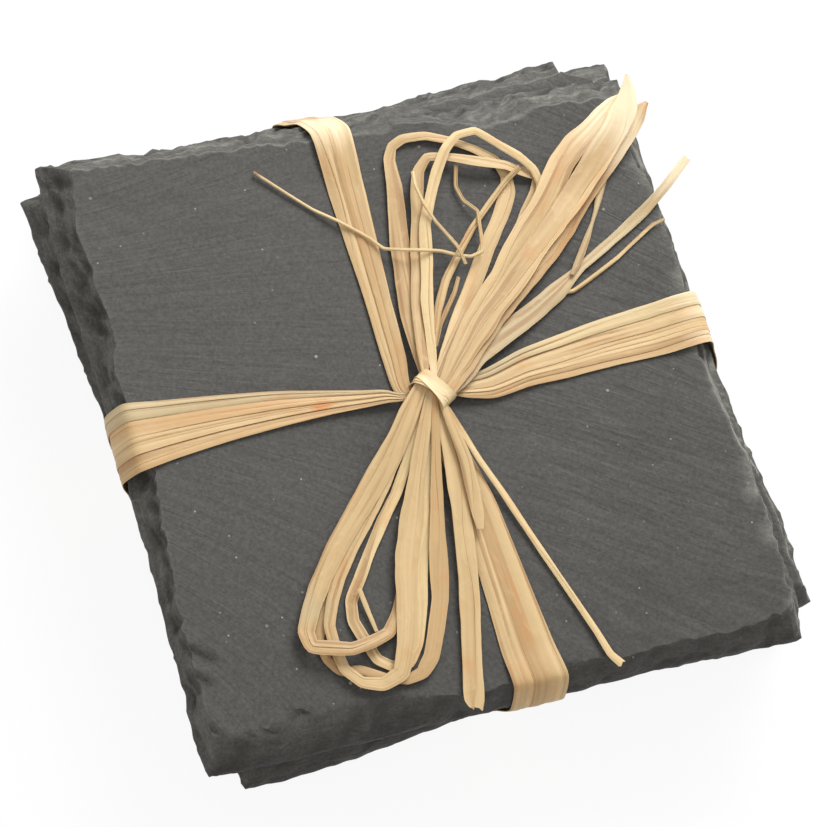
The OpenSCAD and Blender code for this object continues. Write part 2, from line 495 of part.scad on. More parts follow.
slate_top();
slate_second();
slate_third();
slate_bottom();
pad(slate_a, 0);  // pad_top_1
pad(slate_a, 1);  // pad_top_2
pad(slate_a, 2);  // pad_top_3
pad(slate_a, 3);  // pad_top_4
pad(slate_b, 0);  // pad_second_1
pad(slate_b, 1);  // pad_second_2
pad(slate_b, 2);  // pad_second_3
pad(slate_b, 3);  // pad_second_4
pad(slate_c, 0);  // pad_third_1
pad(slate_c, 1);  // pad_third_2
pad(slate_c, 2);  // pad_third_3
pad(slate_c, 3);  // pad_third_4
pad(slate_d, 0);  // pad_bottom_1
pad(slate_d, 1);  // pad_bottom_2
pad(slate_d, 2);  // pad_bottom_3
pad(slate_d, 3);  // pad_bottom_4
band_across(0, straw);  // band_across_1
band_across(1, pale);  // band_across_2
band_across(2, straw);  // band_across_3
band_across(3, tan_tint);  // band_across_4
band_along(0, tan_tint);  // band_along_1
band_along(1, straw);  // band_along_2
band_along(2, pale);  // band_along_3
knot_wrap();
knot_core();
loop_upper_outer();
loop_upper_middle();
loop_upper_inner();
strand_cross();
tail_left();
tail_middle();
tail_right();
tail_pale();
fibre_long_right();
fibre_branch();
loop_lower_outer();
loop_lower_second();
loop_lower_third();
loop_lower_under();
tail_lower_flat();
tail_lower_short();
tail_lower_round();
fibre_long_left();
fibre_curl();
fibre_short();
fibre_lower();
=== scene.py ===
"""Split-slate coasters, stacked on felt pads and tied both ways with a raffia bow."""

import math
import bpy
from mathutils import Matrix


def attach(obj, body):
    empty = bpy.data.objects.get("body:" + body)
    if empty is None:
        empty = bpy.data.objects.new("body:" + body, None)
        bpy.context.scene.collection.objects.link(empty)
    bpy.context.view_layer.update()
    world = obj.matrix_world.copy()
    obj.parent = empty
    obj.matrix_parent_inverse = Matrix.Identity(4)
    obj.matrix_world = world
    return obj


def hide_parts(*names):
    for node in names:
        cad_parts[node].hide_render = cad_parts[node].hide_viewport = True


bl_info = {
    "name": "Raffia-tied slate coasters",
    "version": (1, 0, 0),
    "blender": (4, 5, 0),
    "location": "View3D > Sidebar > Coasters",
    "description": "Stack of split-slate drink coasters, tied with raffia",
    "category": "Add Mesh",
}

from contextlib import contextmanager

import bpy
import numpy as np
from bpy.props import FloatProperty, FloatVectorProperty, IntProperty, PointerProperty
from mathutils import Matrix, Vector, noise

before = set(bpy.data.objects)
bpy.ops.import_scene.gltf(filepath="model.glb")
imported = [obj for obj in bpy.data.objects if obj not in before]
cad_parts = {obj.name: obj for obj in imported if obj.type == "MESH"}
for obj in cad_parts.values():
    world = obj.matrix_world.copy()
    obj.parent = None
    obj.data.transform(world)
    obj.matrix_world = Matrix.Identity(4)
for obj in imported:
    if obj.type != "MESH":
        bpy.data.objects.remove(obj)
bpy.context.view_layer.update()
MM = 0.001


def paint(red, green, blue):
    """A colour as it is seen, 0 to 255, in the scale that a shader takes."""
    seen = [c / 255 for c in (red, green, blue)]
    return tuple(c / 12.92 if c < 0.04045 else ((c + 0.055) / 1.055) ** 2.4 for c in seen)


def colour(name, description, default):
    return FloatVectorProperty(name=name, description=description, subtype="COLOR", size=3,
                               min=0, max=1, default=default)


def length(name, description, millimetres):
    return FloatProperty(name=name, description=description, unit="LENGTH", min=0,
                         precision=5, default=millimetres * MM)


class SlateSettings(bpy.types.PropertyGroup):
    side: length("Side", "Side of a square slate", 100)
    thickness: length("Thickness", "Thickness of a slate", 5)
    spacing: length("Spacing", "Distance between two slates, for the felt between them", 1)
    undulation: length("Undulation", "Depth of the hollows in the split face", 0.16)
    broken: length("Broken", "Depth of the shells broken from the dressed edges", 1)
    grid: IntProperty(name="Grid", description="Faces along a side of the top slate",
                      min=40, max=240, default=180)
    stone: colour("Stone", "Colour of the split face", paint(83, 81, 77))
    fracture: colour("Fracture", "Colour of the dressed edges", paint(101, 99, 93))
    # The frost colour is also painted as highlight on the sides that face the light
    frost_and_highlight: colour("Frost", "Colour of the bruised, palest broken stone", paint(142, 140, 132))
    shade_tone: colour("Pit", "Colour of the hollows in the dressed edges", paint(42, 40, 37))
    # The colour below is the painted shade in the shells, grooves and sides that face away from
    # the light
    rust: colour("Rust", "Colour of the weathered outer rim", paint(104, 86, 66))
    speck: colour("Speck", "Colour of the small grains in the stone", paint(186, 180, 164))


class FeltSettings(bpy.types.PropertyGroup):
    diameter: length("Diameter", "Diameter of a felt pad", 10)
    thickness: length("Thickness", "Thickness of a felt pad", 1)
    inset: length("Inset", "Distance of a pad's middle from the slate's edge", 14)
    rounding: length("Rounding", "Rounding of a pad's rim", 0.18)
    felt: colour("Felt", "Colour of the felt", paint(52, 51, 54))


class RaffiaSettings(bpy.types.PropertyGroup):
    film: length("Film", "Thickness of the raffia skin itself", 0.13)
    curl: length("Curl", "How far the edges of a strip turn down", 0.06)
    pleat: FloatProperty(name="Pleat", description="Share of a strip's thickness taken by pleats",
                         subtype="FACTOR", min=0, max=1.5, default=1)
    straw: colour("Straw", "Colour of most strips", paint(197, 168, 121))
    pale: colour("Pale", "Colour of the lightest strips", paint(211, 185, 136))
    tan: colour("Tan", "Colour of the darker strips", paint(184, 151, 104))
    cream: colour("Cream", "Colour of the pale tail with its green cast", paint(187, 167, 127))
    # The crease colour is also the brown of the veins, and the painted shade under the strips'
    # folds
    crease: colour("Crease", "Colour deep in a crease", paint(142, 98, 54))
    stain: colour("Stain", "Colour of the orange stains", paint(196, 126, 66))
    # The colour below is painted light: pale pools on the ends and the knot's top, towards the
    # lamp at the back right
    painted_light: colour("Bleach", "Colour of the ends that the sun has bleached",
                   paint(244, 226, 190))


class StageSettings(bpy.types.PropertyGroup):
    floor: colour("Floor", "Colour of the floor", (0.92, 0.92, 0.92))
    surround: FloatProperty(name="Surround", description="Strength of the light all round",
                            min=0, default=0.44)
    glow: FloatProperty(name="Glow", description="How far the seen floor is lit to white",
                        subtype="FACTOR", min=0, max=1, default=0.91)
    key: FloatProperty(name="Key", description="Strength of the large soft lamp", min=0,
                       default=1.0)
    lens: FloatProperty(name="Lens", description="Focal length of the camera in mm",
                        unit="CAMERA", min=1, default=127.5)


# ---------------------------------------------------------------- small tools
def mix(a, b, k):
    return a + (b - a) * k


def unit(v):
    v = np.asarray(v, float)
    return v / np.linalg.norm(v)


def turned(p, degrees):
    a = math.radians(degrees)
    return np.array([p[0] * math.cos(a) - p[1] * math.sin(a),
                     p[0] * math.sin(a) + p[1] * math.cos(a)])


def chance(k, seed):
    """An even scatter of numbers from 0 to 1, the same every time."""
    v = np.sin(np.radians(np.asarray(k, float) * 127.1 + seed * 311.7)) * 437.5
    return v - np.floor(v)


def wave(k, seed):
    """A smooth line through that scatter."""
    k = np.asarray(k, float)
    a = np.floor(k)
    f = k - a
    return mix(chance(a, seed), chance(a + 1, seed), f * f * (3 - 2 * f))


def sway(k, seed):
    """That line, from -1 to 1."""
    return 2 * wave(k, seed) - 1


def toss(k, seed):
    """That scatter, from -1 to 1."""
    return 2 * chance(k, seed) - 1


def alone(piece=None):
    """Nothing is selected but this piece."""
    for o in bpy.context.selected_objects:
        o.select_set(False)
    if piece is not None:
        bpy.context.view_layer.objects.active = piece
        piece.select_set(True)


def coords(piece):
    co = np.empty(len(piece.data.vertices) * 3)
    piece.data.vertices.foreach_get("co", co)
    return co.reshape(-1, 3)


def place(piece, co):
    piece.data.vertices.foreach_set("co", np.asarray(co, float).ravel())
    piece.data.update()


@contextmanager
def editing(action=None):
    """Edit mode for the active piece, with all of it selected, or none of it."""
    bpy.ops.object.mode_set(mode="EDIT")
    if action:
        bpy.ops.mesh.select_all(action=action)
    yield
    bpy.ops.object.mode_set(mode="OBJECT")


def select_open_edges():
    bpy.ops.mesh.select_mode(type="EDGE")
    bpy.ops.mesh.select_non_manifold(extend=False, use_wire=False, use_boundary=True,
                                     use_multi_face=False, use_non_contiguous=False,
                                     use_verts=False)


def mark(piece, name, values):
    """Gives a piece's points a number each, for its finish to read."""
    layer = piece.data.attributes.new(name, "FLOAT", "POINT")
    layer.data.foreach_set("value", values.astype(np.float32))


def apply_modifier(piece, kind, **settings):
    """Adds a modifier with these settings and applies it."""
    alone(piece)
    m = piece.modifiers.new(kind.title(), kind)
    for name, value in settings.items():
        setattr(m, name, value)
    bpy.ops.object.modifier_apply(modifier=m.name)


def smooth(piece, degrees):
    alone(piece)
    bpy.ops.object.shade_smooth_by_angle(angle=math.radians(degrees))


def settle(piece, nodes, material):
    """The finished piece stands for its solids and takes its finish."""
    piece.data.materials.clear()
    piece.data.materials.append(material)
    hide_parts(*nodes)
    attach(piece, "root")
    alone()


# ------------------------------------------------------------------ finishes
class Nodes:
    """A node tree in the making: its nodes are added and joined by name or number."""

    def __init__(self, tree):
        self.tree = tree
        tree.nodes.clear()

    def fit(self, socket, value):
        """Joins a socket to another one, or sets it."""
        if isinstance(value, bpy.types.NodeSocket):
            self.tree.links.new(value, socket)
        else:
            socket.default_value = value

    def add(self, kind, inputs=None, **settings):
        node = self.tree.nodes.new("ShaderNode" + kind)
        for name, value in settings.items():
            setattr(node, name, value)
        for name, value in (inputs or {}).items():
            self.fit(node.inputs[name], value)
        return node

    def sum(self, a, b, how="ADD"):
        return self.add("Math", {0: a, 1: b}, operation=how).outputs[0]

    def times(self, a, b):
        return self.sum(a, b, "MULTIPLY")

    def weighed(self, *parts):
        """The sum of patterns, each times its weight."""
        whole = 0
        for pattern, weight in parts:
            whole = self.sum(self.times(pattern, weight), whole)
        return whole

    def shown(self):
        """1 for the rays that show the backdrop: the camera's, of gloss and through glass."""
        path = self.add("LightPath").outputs
        seen = path["Is Camera Ray"]
        for kind in ("Is Glossy Ray", "Is Transmission Ray"):
            seen = self.sum(seen, path[kind], "MAXIMUM")
        return seen


class Finish(Nodes):
    """A material in the making, with one shader."""

    def __init__(self, name, **shader):
        self.material = bpy.data.materials.new(name)
        self.material.use_nodes = True
        super().__init__(self.material.node_tree)
        self.shader = self.add("BsdfPrincipled", shader)
        self.output = self.add("OutputMaterial", {"Surface": self.shader.outputs[0]})

    def wear(self, **inputs):
        """Sets or joins the shader's own sockets."""
        for name, value in inputs.items():
            self.fit(self.shader.inputs[name.replace("_", " ")], value)

    def place(self, scale=(1, 1, 1), uv=None):
        """Coordinates from the object, or from its own map, scaled."""
        source = (self.add("UVMap", uv_map=uv).outputs[0] if uv
                  else self.add("TexCoord").outputs["Object"])
        return self.add("Mapping", {"Vector": source, "Scale": scale}).outputs[0]

    def grain(self, where, scale, detail=3.0, rough=0.55, distortion=0.0):
        return self.add("TexNoise", {"Vector": where, "Scale": scale, "Detail": detail,
                                     "Roughness": rough, "Distortion": distortion}).outputs[0]

    def cells(self, where, scale, **settings):
        """Distance to the nearest of scattered points, and a number from 0 to 1 for each."""
        found = self.add("TexVoronoi", {"Vector": where, "Scale": scale}, **settings).outputs
        return (found["Distance"],
                self.add("SeparateColor", {0: found["Color"]}).outputs[0])

    def between(self, value, low, high, out_low=0.0, out_high=1.0):
        return self.add("MapRange", {0: value, 1: low, 2: high, 3: out_low,
                                     4: out_high}).outputs[0]

    def blend(self, share, a, b, how="MIX"):
        a, b = (v if isinstance(v, bpy.types.NodeSocket) else (*v, 1) for v in (a, b))
        return self.add("Mix", {0: share, 6: a, 7: b}, data_type="RGBA",
                        blend_type=how).outputs[2]

    def dyed(self, body, *dyes):
        """One dye after another over a body: pattern, where it starts and is full, share, dye."""
        for pattern, low, high, share, dye in dyes:
            body = self.blend(self.between(pattern, low, high, 0, share), body, dye)
        return body

    def attribute(self, name):
        return self.add("Attribute", attribute_name=name).outputs["Fac"]

    def bump(self, height, distance, strength=1.0):
        return self.add("Bump", {"Height": height, "Distance": distance,
                                 "Strength": strength}).outputs[0]


def toned(dye, k):
    """A colour made darker or lighter."""
    return tuple(c * k for c in dye)


# The bend of the cleaved lines over a slate: shares of the products of x and y in metres
BENDS = ((0.36, "x"), (0.2, "xx"), (-8.4, "xy"), (3.4, "yy"), (61, "xxx"), (173, "xxy"),
         (-63, "xyy"), (-44, "yyy"))
# How much longer the cleaved lines run than they are wide, over the face and down an edge
LINES_RUN = 0.13
LINES_SINK = 0.4
# The mean height of the dressed edges' relief, taken off it so that the edges don't stand out
EDGE_RELIEF = 2.45
# Specks in the stone: cells to a metre, size as a share of a cell, and share without one
SPECKS = ((230, 0.042, 0.78), (110, 0.034, 0.78))


def slate_finish():
    """Matt split slate: cleaved lines over the face and layered, bruised dressed edges, with
    painted shade in the hollows, on the shaded sides and towards the front, and painted highlight
    on the lit sides.
    """
    s = bpy.context.scene.slate
    f = Finish("split_slate", **{"Specular IOR Level": 0.3})
    flat = f.place()
    x, y, z = f.add("SeparateXYZ", {0: flat}).outputs
    across = y
    for share, product in BENDS:
        term = share
        for axis in product:
            term = f.times(x if axis == "x" else y, term)
        across = f.sum(across, term)
    lined = f.add("CombineXYZ", {0: f.times(x, LINES_RUN), 1: across,
                                 2: f.times(z, LINES_SINK)}).outputs[0]
    mottle = f.grain(flat, 60, 4, 0.6)
    tint = f.grain(flat, 240, 2, 0.5)
    fine = f.grain(flat, 1900, 2, 0.7)
    # The lines are coarser and fainter to the left
    right = f.between(x, -0.025, 0.015)
    streak, broad = (
        f.add("Mix", {0: right, 2: f.grain(lined, left_scale, detail, rough, 0.8),
                      3: f.grain(lined, right_scale, detail, rough, 0.8)}).outputs[0]
        for left_scale, right_scale, detail, rough in ((560, 1100, 2, 0.5), (220, 400, 3, 0.6)))
    clear = f.between(right, 0, 1, 0.17, 0.5)
    dark, warm, cool = toned(s.stone, 0.6), paint(99, 90, 88), paint(84, 90, 86)
    # Painted shade, from the pieces' points: darker in the shells, in the grooves and on the sides
    # turned from the light
    painted_shade = f.attribute("painted_shade")
    face = f.blend(f.between(mottle, 0.3, 0.7), toned(s.stone, 0.9), toned(s.stone, 1.1))
    face = f.dyed(face, (tint, 0.45, 0.75, 0.14, warm), (tint, 0.5, 0.2, 0.14, cool),
                  # Along the cleaved lines: the stone's own dark lines, partly painted shade and
                  # highlight of their low ridges
                  (broad, 0.54, 0.3, clear, dark), (streak, 0.52, 0.3, clear, dark),
                  (streak, 0.55, 0.75, f.times(clear, 0.6), s.fracture),
                  # Painted shade: darker towards the front, and in the grooves
                  (y, -0.012, -0.056, 0.3, dark), (painted_shade, 0, 1, 0.6, s.shade_tone))
    layers = f.grain(f.place((150, 150, 2300)), 1, 4, 0.65, 0.5)
    rough_stone = f.grain(flat, 520, 4, 0.65, 0.4)
    chips, tone = f.cells(f.place((430, 430, 950)), 1)
    deep = toned(s.fracture, 0.62)
    broken = f.blend(f.between(layers, 0.36, 0.62), deep, s.fracture)
    broken = f.dyed(broken, (tone, 0, 1, 0.3, deep), (rough_stone, 0.6, 0.76, 0.4, s.frost_and_highlight),
                    (painted_shade, 0, 1, 0.8, s.shade_tone))
    # Pale bruised stone, and painted highlight on the sides that face the light
    broken = f.blend(f.attribute("bruise_and_highlight"), broken, s.frost_and_highlight)
    broken = f.blend(f.times(f.attribute("rim"), 0.6), broken, s.rust)
    edge = f.attribute("edge")
    stone = f.blend(edge, face, broken)
    stone = f.blend(f.between(fine, 0.3, 0.7, 0, 0.5), stone, paint(52, 52, 50), "SOFT_LIGHT")
    on_face = f.between(edge, 0.5, 0.2)
    for scale, size, bare in SPECKS:
        far, pick = f.cells(flat, scale, voronoi_dimensions="2D")
        dot = f.times(f.between(far, size, size * 0.5), f.between(pick, bare, 1))
        stone = f.blend(f.times(f.times(dot, on_face), 0.62), stone, s.speck)
    on_edge = f.sum(f.weighed((rough_stone, 1.9), (layers, 2.4), (chips, 0.9)), -EDGE_RELIEF)
    relief = f.weighed((fine, 0.3), (streak, 0.6), (broad, 1), (on_edge, edge))
    f.wear(Base_Color=stone, Roughness=f.between(mottle, 0.3, 0.7, 0.6, 0.75),
           Normal=f.bump(relief, 0.18 * MM, 0.9))
    return f.material


def raffia_finish(name, skin, spots):
    """Raffia: satin skin, fine fibres along the strip, brown veins, painted brown shade under its
    folds and painted highlight on their edges and on its wrinkles. Each spot has its place and
    size in mm, its colour and its share."""
    s = bpy.context.scene.raffia
    f = Finish(name, **{"Specular IOR Level": 0.4, "Sheen Weight": 0.08})
    # Patterns along a strip: marks to a metre across and along it, detail, roughness, twist
    fibre, broad, blotch, vein, wrinkle = (
        f.grain(f.place((across, along, 1), uv="fibres"), 1, detail, rough, twist)
        for across, along, detail, rough, twist in (
            (2300, 26, 2, 0.6, 0), (430, 14, 2, 0.55, 0.3), (240, 90, 3, 0.6, 0),
            (1000, 20, 1, 0.5, 0.5), (620, 240, 2, 0.6, 1.2)))
    fold_shading = f.attribute("fold_shading")
    dark = tuple(mix(a, b, 0.5) for a, b in zip(skin, s.crease))
    light = tuple(min(1, c * 1.2 + 0.02) for c in skin)
    body = f.dyed(skin, (broad, 0.5, 0.3, 0.6, dark), (broad, 0.5, 0.72, 0.85, light),
                  (fibre, 0.5, 0.28, 0.28, dark), (fibre, 0.52, 0.72, 0.35, light),
                  (blotch, 0.54, 0.76, 0.5, s.stain), (blotch, 0.44, 0.28, 0.45, light),
                  # Caramel veins, then painted highlights on the cross wrinkles
                  (vein, 0.57, 0.67, 0.6, s.crease), (wrinkle, 0.58, 0.75, 0.35, light),
                  # Painted shade under the folds and painted highlight on their edges
                  (fold_shading, 0.9, 0.05, 0.75, s.crease), (fold_shading, 1.05, 1.3, 0.6, light))
    where = f.add("TexCoord").outputs["Object"]
    for x, y, z, size, dye, share in spots:
        size, core = size * MM, size * 0.3 * MM
        near = f.add("VectorMath", {0: where, 1: (x * MM, y * MM, z * MM)},
                     operation="DISTANCE").outputs["Value"]
        near = f.sum(near, f.between(fibre, 0.3, 0.7, -core, core))
        body = f.dyed(body, (near, size, core, share, dye))
    relief = f.weighed((fibre, 1), (broad, 1.6), (wrinkle, 1.8), (vein, -1))
    f.wear(Base_Color=body, Roughness=f.between(fibre, 0.3, 0.7, 0.62, 0.5),
           Normal=f.bump(relief, 0.06 * MM, 0.8))
    return f.material


def felt_finish():
    """Pressed felt: a dark mat of short fibres."""
    s = bpy.context.scene.felt
    f = Finish("pressed_felt", **{"Roughness": 0.95, "Specular IOR Level": 0.2,
                                  "Sheen Weight": 0.3})
    hair = f.grain(f.place(), 3200, 4, 0.75, 1.2)
    clump = f.grain(f.place(), 520, 3, 0.6)
    body = f.blend(f.between(hair, 0.35, 0.65), toned(s.felt, 0.55), toned(s.felt, 1.7))
    body = f.dyed(body, (clump, 0.4, 0.7, 0.5, s.felt))
    f.wear(Base_Color=body, Normal=f.bump(f.sum(hair, clump), 0.15 * MM))
    return f.material


# -------------------------------------------------------------------- slates
# A slate: what is added to the set side (mm), its layer from the bottom, its turn
# in degrees, its shift and its corners' offsets as shares of its side, the seed of
# its chips, and what each corner loses before and after it (mm).
# Corners run front left, front right, back right, back left, each before its side.
SIGNS = ((-1, -1), (1, -1), (1, 1), (-1, 1))
FRONT, RIGHT, BACK, LEFT = range(4)
NICK = (0.25, 0.25)
EVEN = ((0, 0),) * 4
SLATES = {
    "slate_top": (0, 3, 0, (-0.017, -0.032), EVEN, 3, (NICK,) * 4),
    "slate_second": (0.5, 2, 4.9, (0.0045, -0.0055),
                     ((0.001, -0.002), (-0.006, -0.001), (0.009, 0.013), (-0.003, -0.01)),
                     11, (NICK, NICK, (8.4, 5.9), NICK)),
    "slate_third": (-1.5, 1, 2, (0.036, 0.032), ((0, 0), (-0.005, 0), (0.014, 0.01), (0, 0)),
                    23, (NICK,) * 4),
    "slate_bottom": (-0.5, 0, 0.8, (0.036, 0.012), EVEN, 31, (NICK,) * 4),
}
# How far in the dressed sides slope from the rim to the face, and how far in the
# underside's edge stands (mm)
SLOPES = (2.2, 2.0, 3.8, 1.8)
UNDER_SLOPE = 0.6
# Where the top slate's flat face ends: share of the way along each side, and
# distance in from the edge (mm)
TOP_FACE = (
    ((0, 4.6), (0.04, 4), (0.11, 2.8), (0.15, 5), (0.2, 4.6), (0.28, 4.6), (0.33, 3.9),
     (0.41, 2.2), (0.5, 2.4), (0.585, 3.6), (0.7, 2.7), (0.8, 3), (0.87, 2.8), (0.95, 4),
     (1, 4.8)),
    ((0, 2.6), (0.12, 1.6), (0.23, 1.6), (0.31, 2.1), (0.4, 3.5), (0.49, 4.1), (0.6, 3),
     (0.68, 2.6), (0.79, 3), (0.84, 4), (0.92, 4.6), (1, 4.6)),
    ((0, 4.4), (0.07, 5), (0.18, 4.4), (0.22, 6.1), (0.27, 7), (0.35, 4.7), (0.42, 3.6),
     (0.46, 5.1), (0.59, 4.4), (0.7, 4), (0.79, 3.9), (0.9, 3.4), (1, 3.4)),
    ((0, 3.2), (0.07, 2.6), (0.11, 2), (0.14, 1.5), (0.195, 2), (0.25, 2.4), (0.31, 2.7),
     (0.37, 1.7), (0.45, 2.4), (0.55, 3.5), (0.6, 2.6), (0.64, 2.1), (0.72, 1.7), (0.76, 1.4),
     (0.8, 1.2), (0.86, 1.6), (0.91, 1.2), (0.95, 1.5), (1, 2.4)),
)
# Where a rim leaves the straight line between its corners: share of the way
# along a side, and distance in (mm)
RIMS = {
    ("slate_top", FRONT): (
        (0, 0), (0.037, -0.3), (0.1, -0.5), (0.2, -0.3), (0.4, 0), (0.6, 0.2), (0.73, 0.5),
        (0.85, 0.3), (1, 0.2)),
    ("slate_top", RIGHT): (
        (0, 0.9), (0.017, 0.6), (0.06, -0.4), (0.08, -0.8), (0.12, -0.7), (0.15, -0.4),
        (0.24, -0.7), (0.34, -0.5), (0.45, 0), (0.6, 0.2), (0.67, 0), (0.73, 0.4), (0.79, 0.6),
        (0.89, 0.6), (1, 0.2)),
    ("slate_top", BACK): (
        (0, 0), (0.1, -0.2), (0.18, 0), (0.28, 0.7), (0.33, 0.7), (0.39, -0.6), (0.48, -0.4),
        (0.5, 0), (0.7, 0), (0.85, 0.3), (0.95, 0), (1, 0.2)),
    ("slate_top", LEFT): (
        (0, -1), (0.04, -1.4), (0.1, -1.5), (0.17, -1.2), (0.25, -1.1), (0.29, -0.9),
        (0.33, -0.5), (0.39, -0.1), (0.45, 0), (0.6, 0.1), (0.77, 0.2), (1, 0)),
    ("slate_second", FRONT): ((0, -0.2), (0.09, -0.9), (0.2, -0.8), (0.4, 0), (1, 0)),
    ("slate_second", RIGHT): ((0, 0), (0.06, -0.1), (0.12, -0.8), (0.19, -0.4), (0.3, 0), (1, 0)),
    ("slate_second", LEFT): ((0, -0.9), (0.1, -0.8), (0.2, -0.6), (0.3, -0.4), (0.4, 0), (1, 0)),
}
# Of the front, right, back and left side: how rough the rim is, how broken the slope,
# how wide its shells are (mm), and how rounded its top
ROUGH = (0.5, 1.0, 1.3, 0.8)
BROKEN = (0.5, 1.0, 1.0, 1.3)
SHELLS = (3.6, 3.6, 5.4, 3.4)
ROLLED = (1.8, 0.7, 1.0, 0.6)
# Of the same sides: how sharply the face ends, how much painted shade the stone takes and how much
# more at the foot, how much painted highlight lies over its pale bruises, and how much painted
# shade lies under the shells' headwalls above and in the pits below
SHARP = (0.3, 1, 1, 1)
SIDE_SHADE = (0.25, 0.05, 0.05, 0)
FOOT_SHADE = (0.9, 0.05, 0, 0.2)
SIDE_HIGHLIGHT = (0, 1.8, 0.9, 0.15)
HEADWALL_SHADE = (0.3, 0.1, 0.1, 0.9)
PIT_SHADE = (0.5, 0.3, 1, 0.4)
# Rings of the dressed edge from the flat face down, as shares of the thickness,
# and the height of the rim, where the slope ends
HEIGHTS = (1, 0.96, 0.9, 0.83, 0.76, 0.69, 0.62, 0.55, 0.48, 0.41, 0.34, 0.27, 0.2, 0.1, 0)
RIM_HEIGHT = 0.2
# Rings of the underside, as shares of the way from the middle to its edge
UNDERSIDE = (0.985, 0.95, 0.8)
# A corner that loses more than this (mm) on a side is broken, and the break steps in so far
BROKEN_CORNER, NOTCH = 2, 6.4
# Least way down (mm) from one ring of the dressed edge to the next, as drawn and as
# laid, and the height under which the edge is rusty, as a share of the thickness
LEAST_STEP, LEAST_LOWER = 0.03, 0.01
RUSTY = 0.15


class Slate:
    """The outline of one slate, from its corners and its dressed sides."""

    def __init__(self, name):
        s = bpy.context.scene.slate
        extra, layer, self.turn, shift, offsets, self.seed, cuts = SLATES[name]
        self.name = name
        self.side = s.side / MM + extra
        self.thick = s.thickness / MM
        self.pad = s.spacing / MM
        self.base = self.pad + layer * (self.thick + self.pad)
        self.top = self.base + self.thick
        self.shift = np.array(shift) * self.side
        self.corners = [self.shift + turned(np.array(g) * self.side / 2, self.turn)
                        + np.array(o) * self.side for g, o in zip(SIGNS, offsets)]
        self.cuts = cuts

    def corner(self, i):
        return self.corners[i % 4]

    def inset(self, side, at, slope):
        """How far in a ring lies (mm) that shows this share of the slope."""
        run = (side + at) * self.side
        rim = ROUGH[side] * (0.6 * abs(sway(run / 4.3, self.seed))
                             + 0.35 * abs(sway(run / 1.6, self.seed + 1)))
        if (self.name, side) in RIMS:
            rim = rim + np.interp(at, *np.transpose(RIMS[self.name, side]))
        if self.name == "slate_top":
            face = np.interp(at, *np.transpose(TOP_FACE[side]))
        else:
            face = SLOPES[side] * (1 + 0.4 * wave(run / 9, self.seed + 2))
        face = (face + 0.7 * abs(sway(run / 2.6, self.seed + 3))
                + 0.3 * wave(run / 1.1, self.seed + 4))
        roll = ROLLED[side] * (0.6 + 0.8 * wave(run / 3.1, self.seed + 6))
        return mix(rim, face, slope ** roll)

    def scoop(self, side, run, down):
        """Depth (mm) of the shells broken from the slope, by the run and the way down."""
        bed = 3.2 * down * SLOPES[side] / 2
        wide = SHELLS[side]

        def far(places, seed):
            """How far each place is from the nearest shell's middle, as shares of a shell."""
            return np.minimum(0.8, [noise.voronoi(Vector((*at, seed)))[0][0] for at in places])

        found = far([(r / wide + 0.4 * bed, 2 * bed / wide) for r in run], self.seed)
        small = far([(r / 1.5, bed / 0.9) for r in run], self.seed + 5)
        deep = BROKEN[side] * bpy.context.scene.slate.broken / MM
        if side == BACK:
            deep *= min(1, max(0.15, 3 * down - 0.9))
        return deep * np.maximum(-0.12, 0.5 - found ** 2 * 1.7 + 0.3 * (0.4 - small ** 2))

    def rings(self, count):
        """Every ring: its 4 * count points from the front left corner, and its painted shade,
        darker in deep shells and on sides turned from the light.
        """
        made = []
        q = np.linspace(0, 1, count + 1)[:-1]
        ends = np.minimum(1, np.minimum(q, 1 - q) * self.side / 2)
        last_in = last_z = None
        for high in HEIGHTS:
            slope = max(0, (high - RIM_HEIGHT) / (1 - RIM_HEIGHT))
            under = 0 if high else UNDER_SLOPE
            depths, places, inward, lower, painted_shade = [], [], [], [], []
            for side in range(4):
                a, b = self.corner(side), self.corner(side + 1)
                whole = np.linalg.norm(b - a)
                ahead = (b - a) / whole
                start = self.inset((side + 3) % 4, 1, slope) + under + self.cuts[side][1]
                stop = (whole - self.inset((side + 1) % 4, 0, slope) - under
                        - self.cuts[(side + 1) % 4][0])
                along = mix(start, stop, q)
                at = along / whole
                shell = self.scoop(side, (side + at) * self.side, 1 - slope) * ends * (
                    min(1, 6 * (1 - slope)) * min(1, 0.15 + 2.5 * slope))
                depth = self.inset(side, at, slope) + under + 0.7 * shell
                if self.cuts[side][1] > BROKEN_CORNER:
                    depth[0] += NOTCH
                depths.append(depth)
                places.append(a + ahead * along[:, None])
                inward.append(np.tile((-ahead[1], ahead[0]), (count, 1)))
                lower.append(0.7 * shell)
                # Painted shade: deeper shells, and the sides in the side shade table, are darker
                painted_shade.append(np.clip(SIDE_SHADE[side] + shell * 1.2, -1, 1))
            depth, down = np.concatenate(depths), np.concatenate(lower)
            z = high * self.thick - down
            if last_in is not None:
                depth = np.minimum(depth, last_in + (0.6 if under else -0.02))
                z = np.minimum(z, last_z - LEAST_STEP)
            z = np.maximum(z, LEAST_STEP * (len(HEIGHTS) - 1 - len(made)))
            last_in, last_z = depth, z
            points = np.concatenate(places) + np.concatenate(inward) * depth[:, None]
            made.append((np.column_stack([points, self.base + z]), np.concatenate(painted_shade)))
        return made


# Short grooves in the top slate's face: both ends, in mm, and the width of each flank
FLANKS = (0.7, 2.2)
GROOVES = ((-51.3, -33.5, -45.9, -37.8), (-51.5, -37.3, -47.5, -41.1),
           (-50.4, -46.4, -48, -49.8), (-47.7, -49.6, -43, -49.8), (-43, -49.8, -37.5, -49.6),
           (-38.2, -48, -34.5, -47.8))


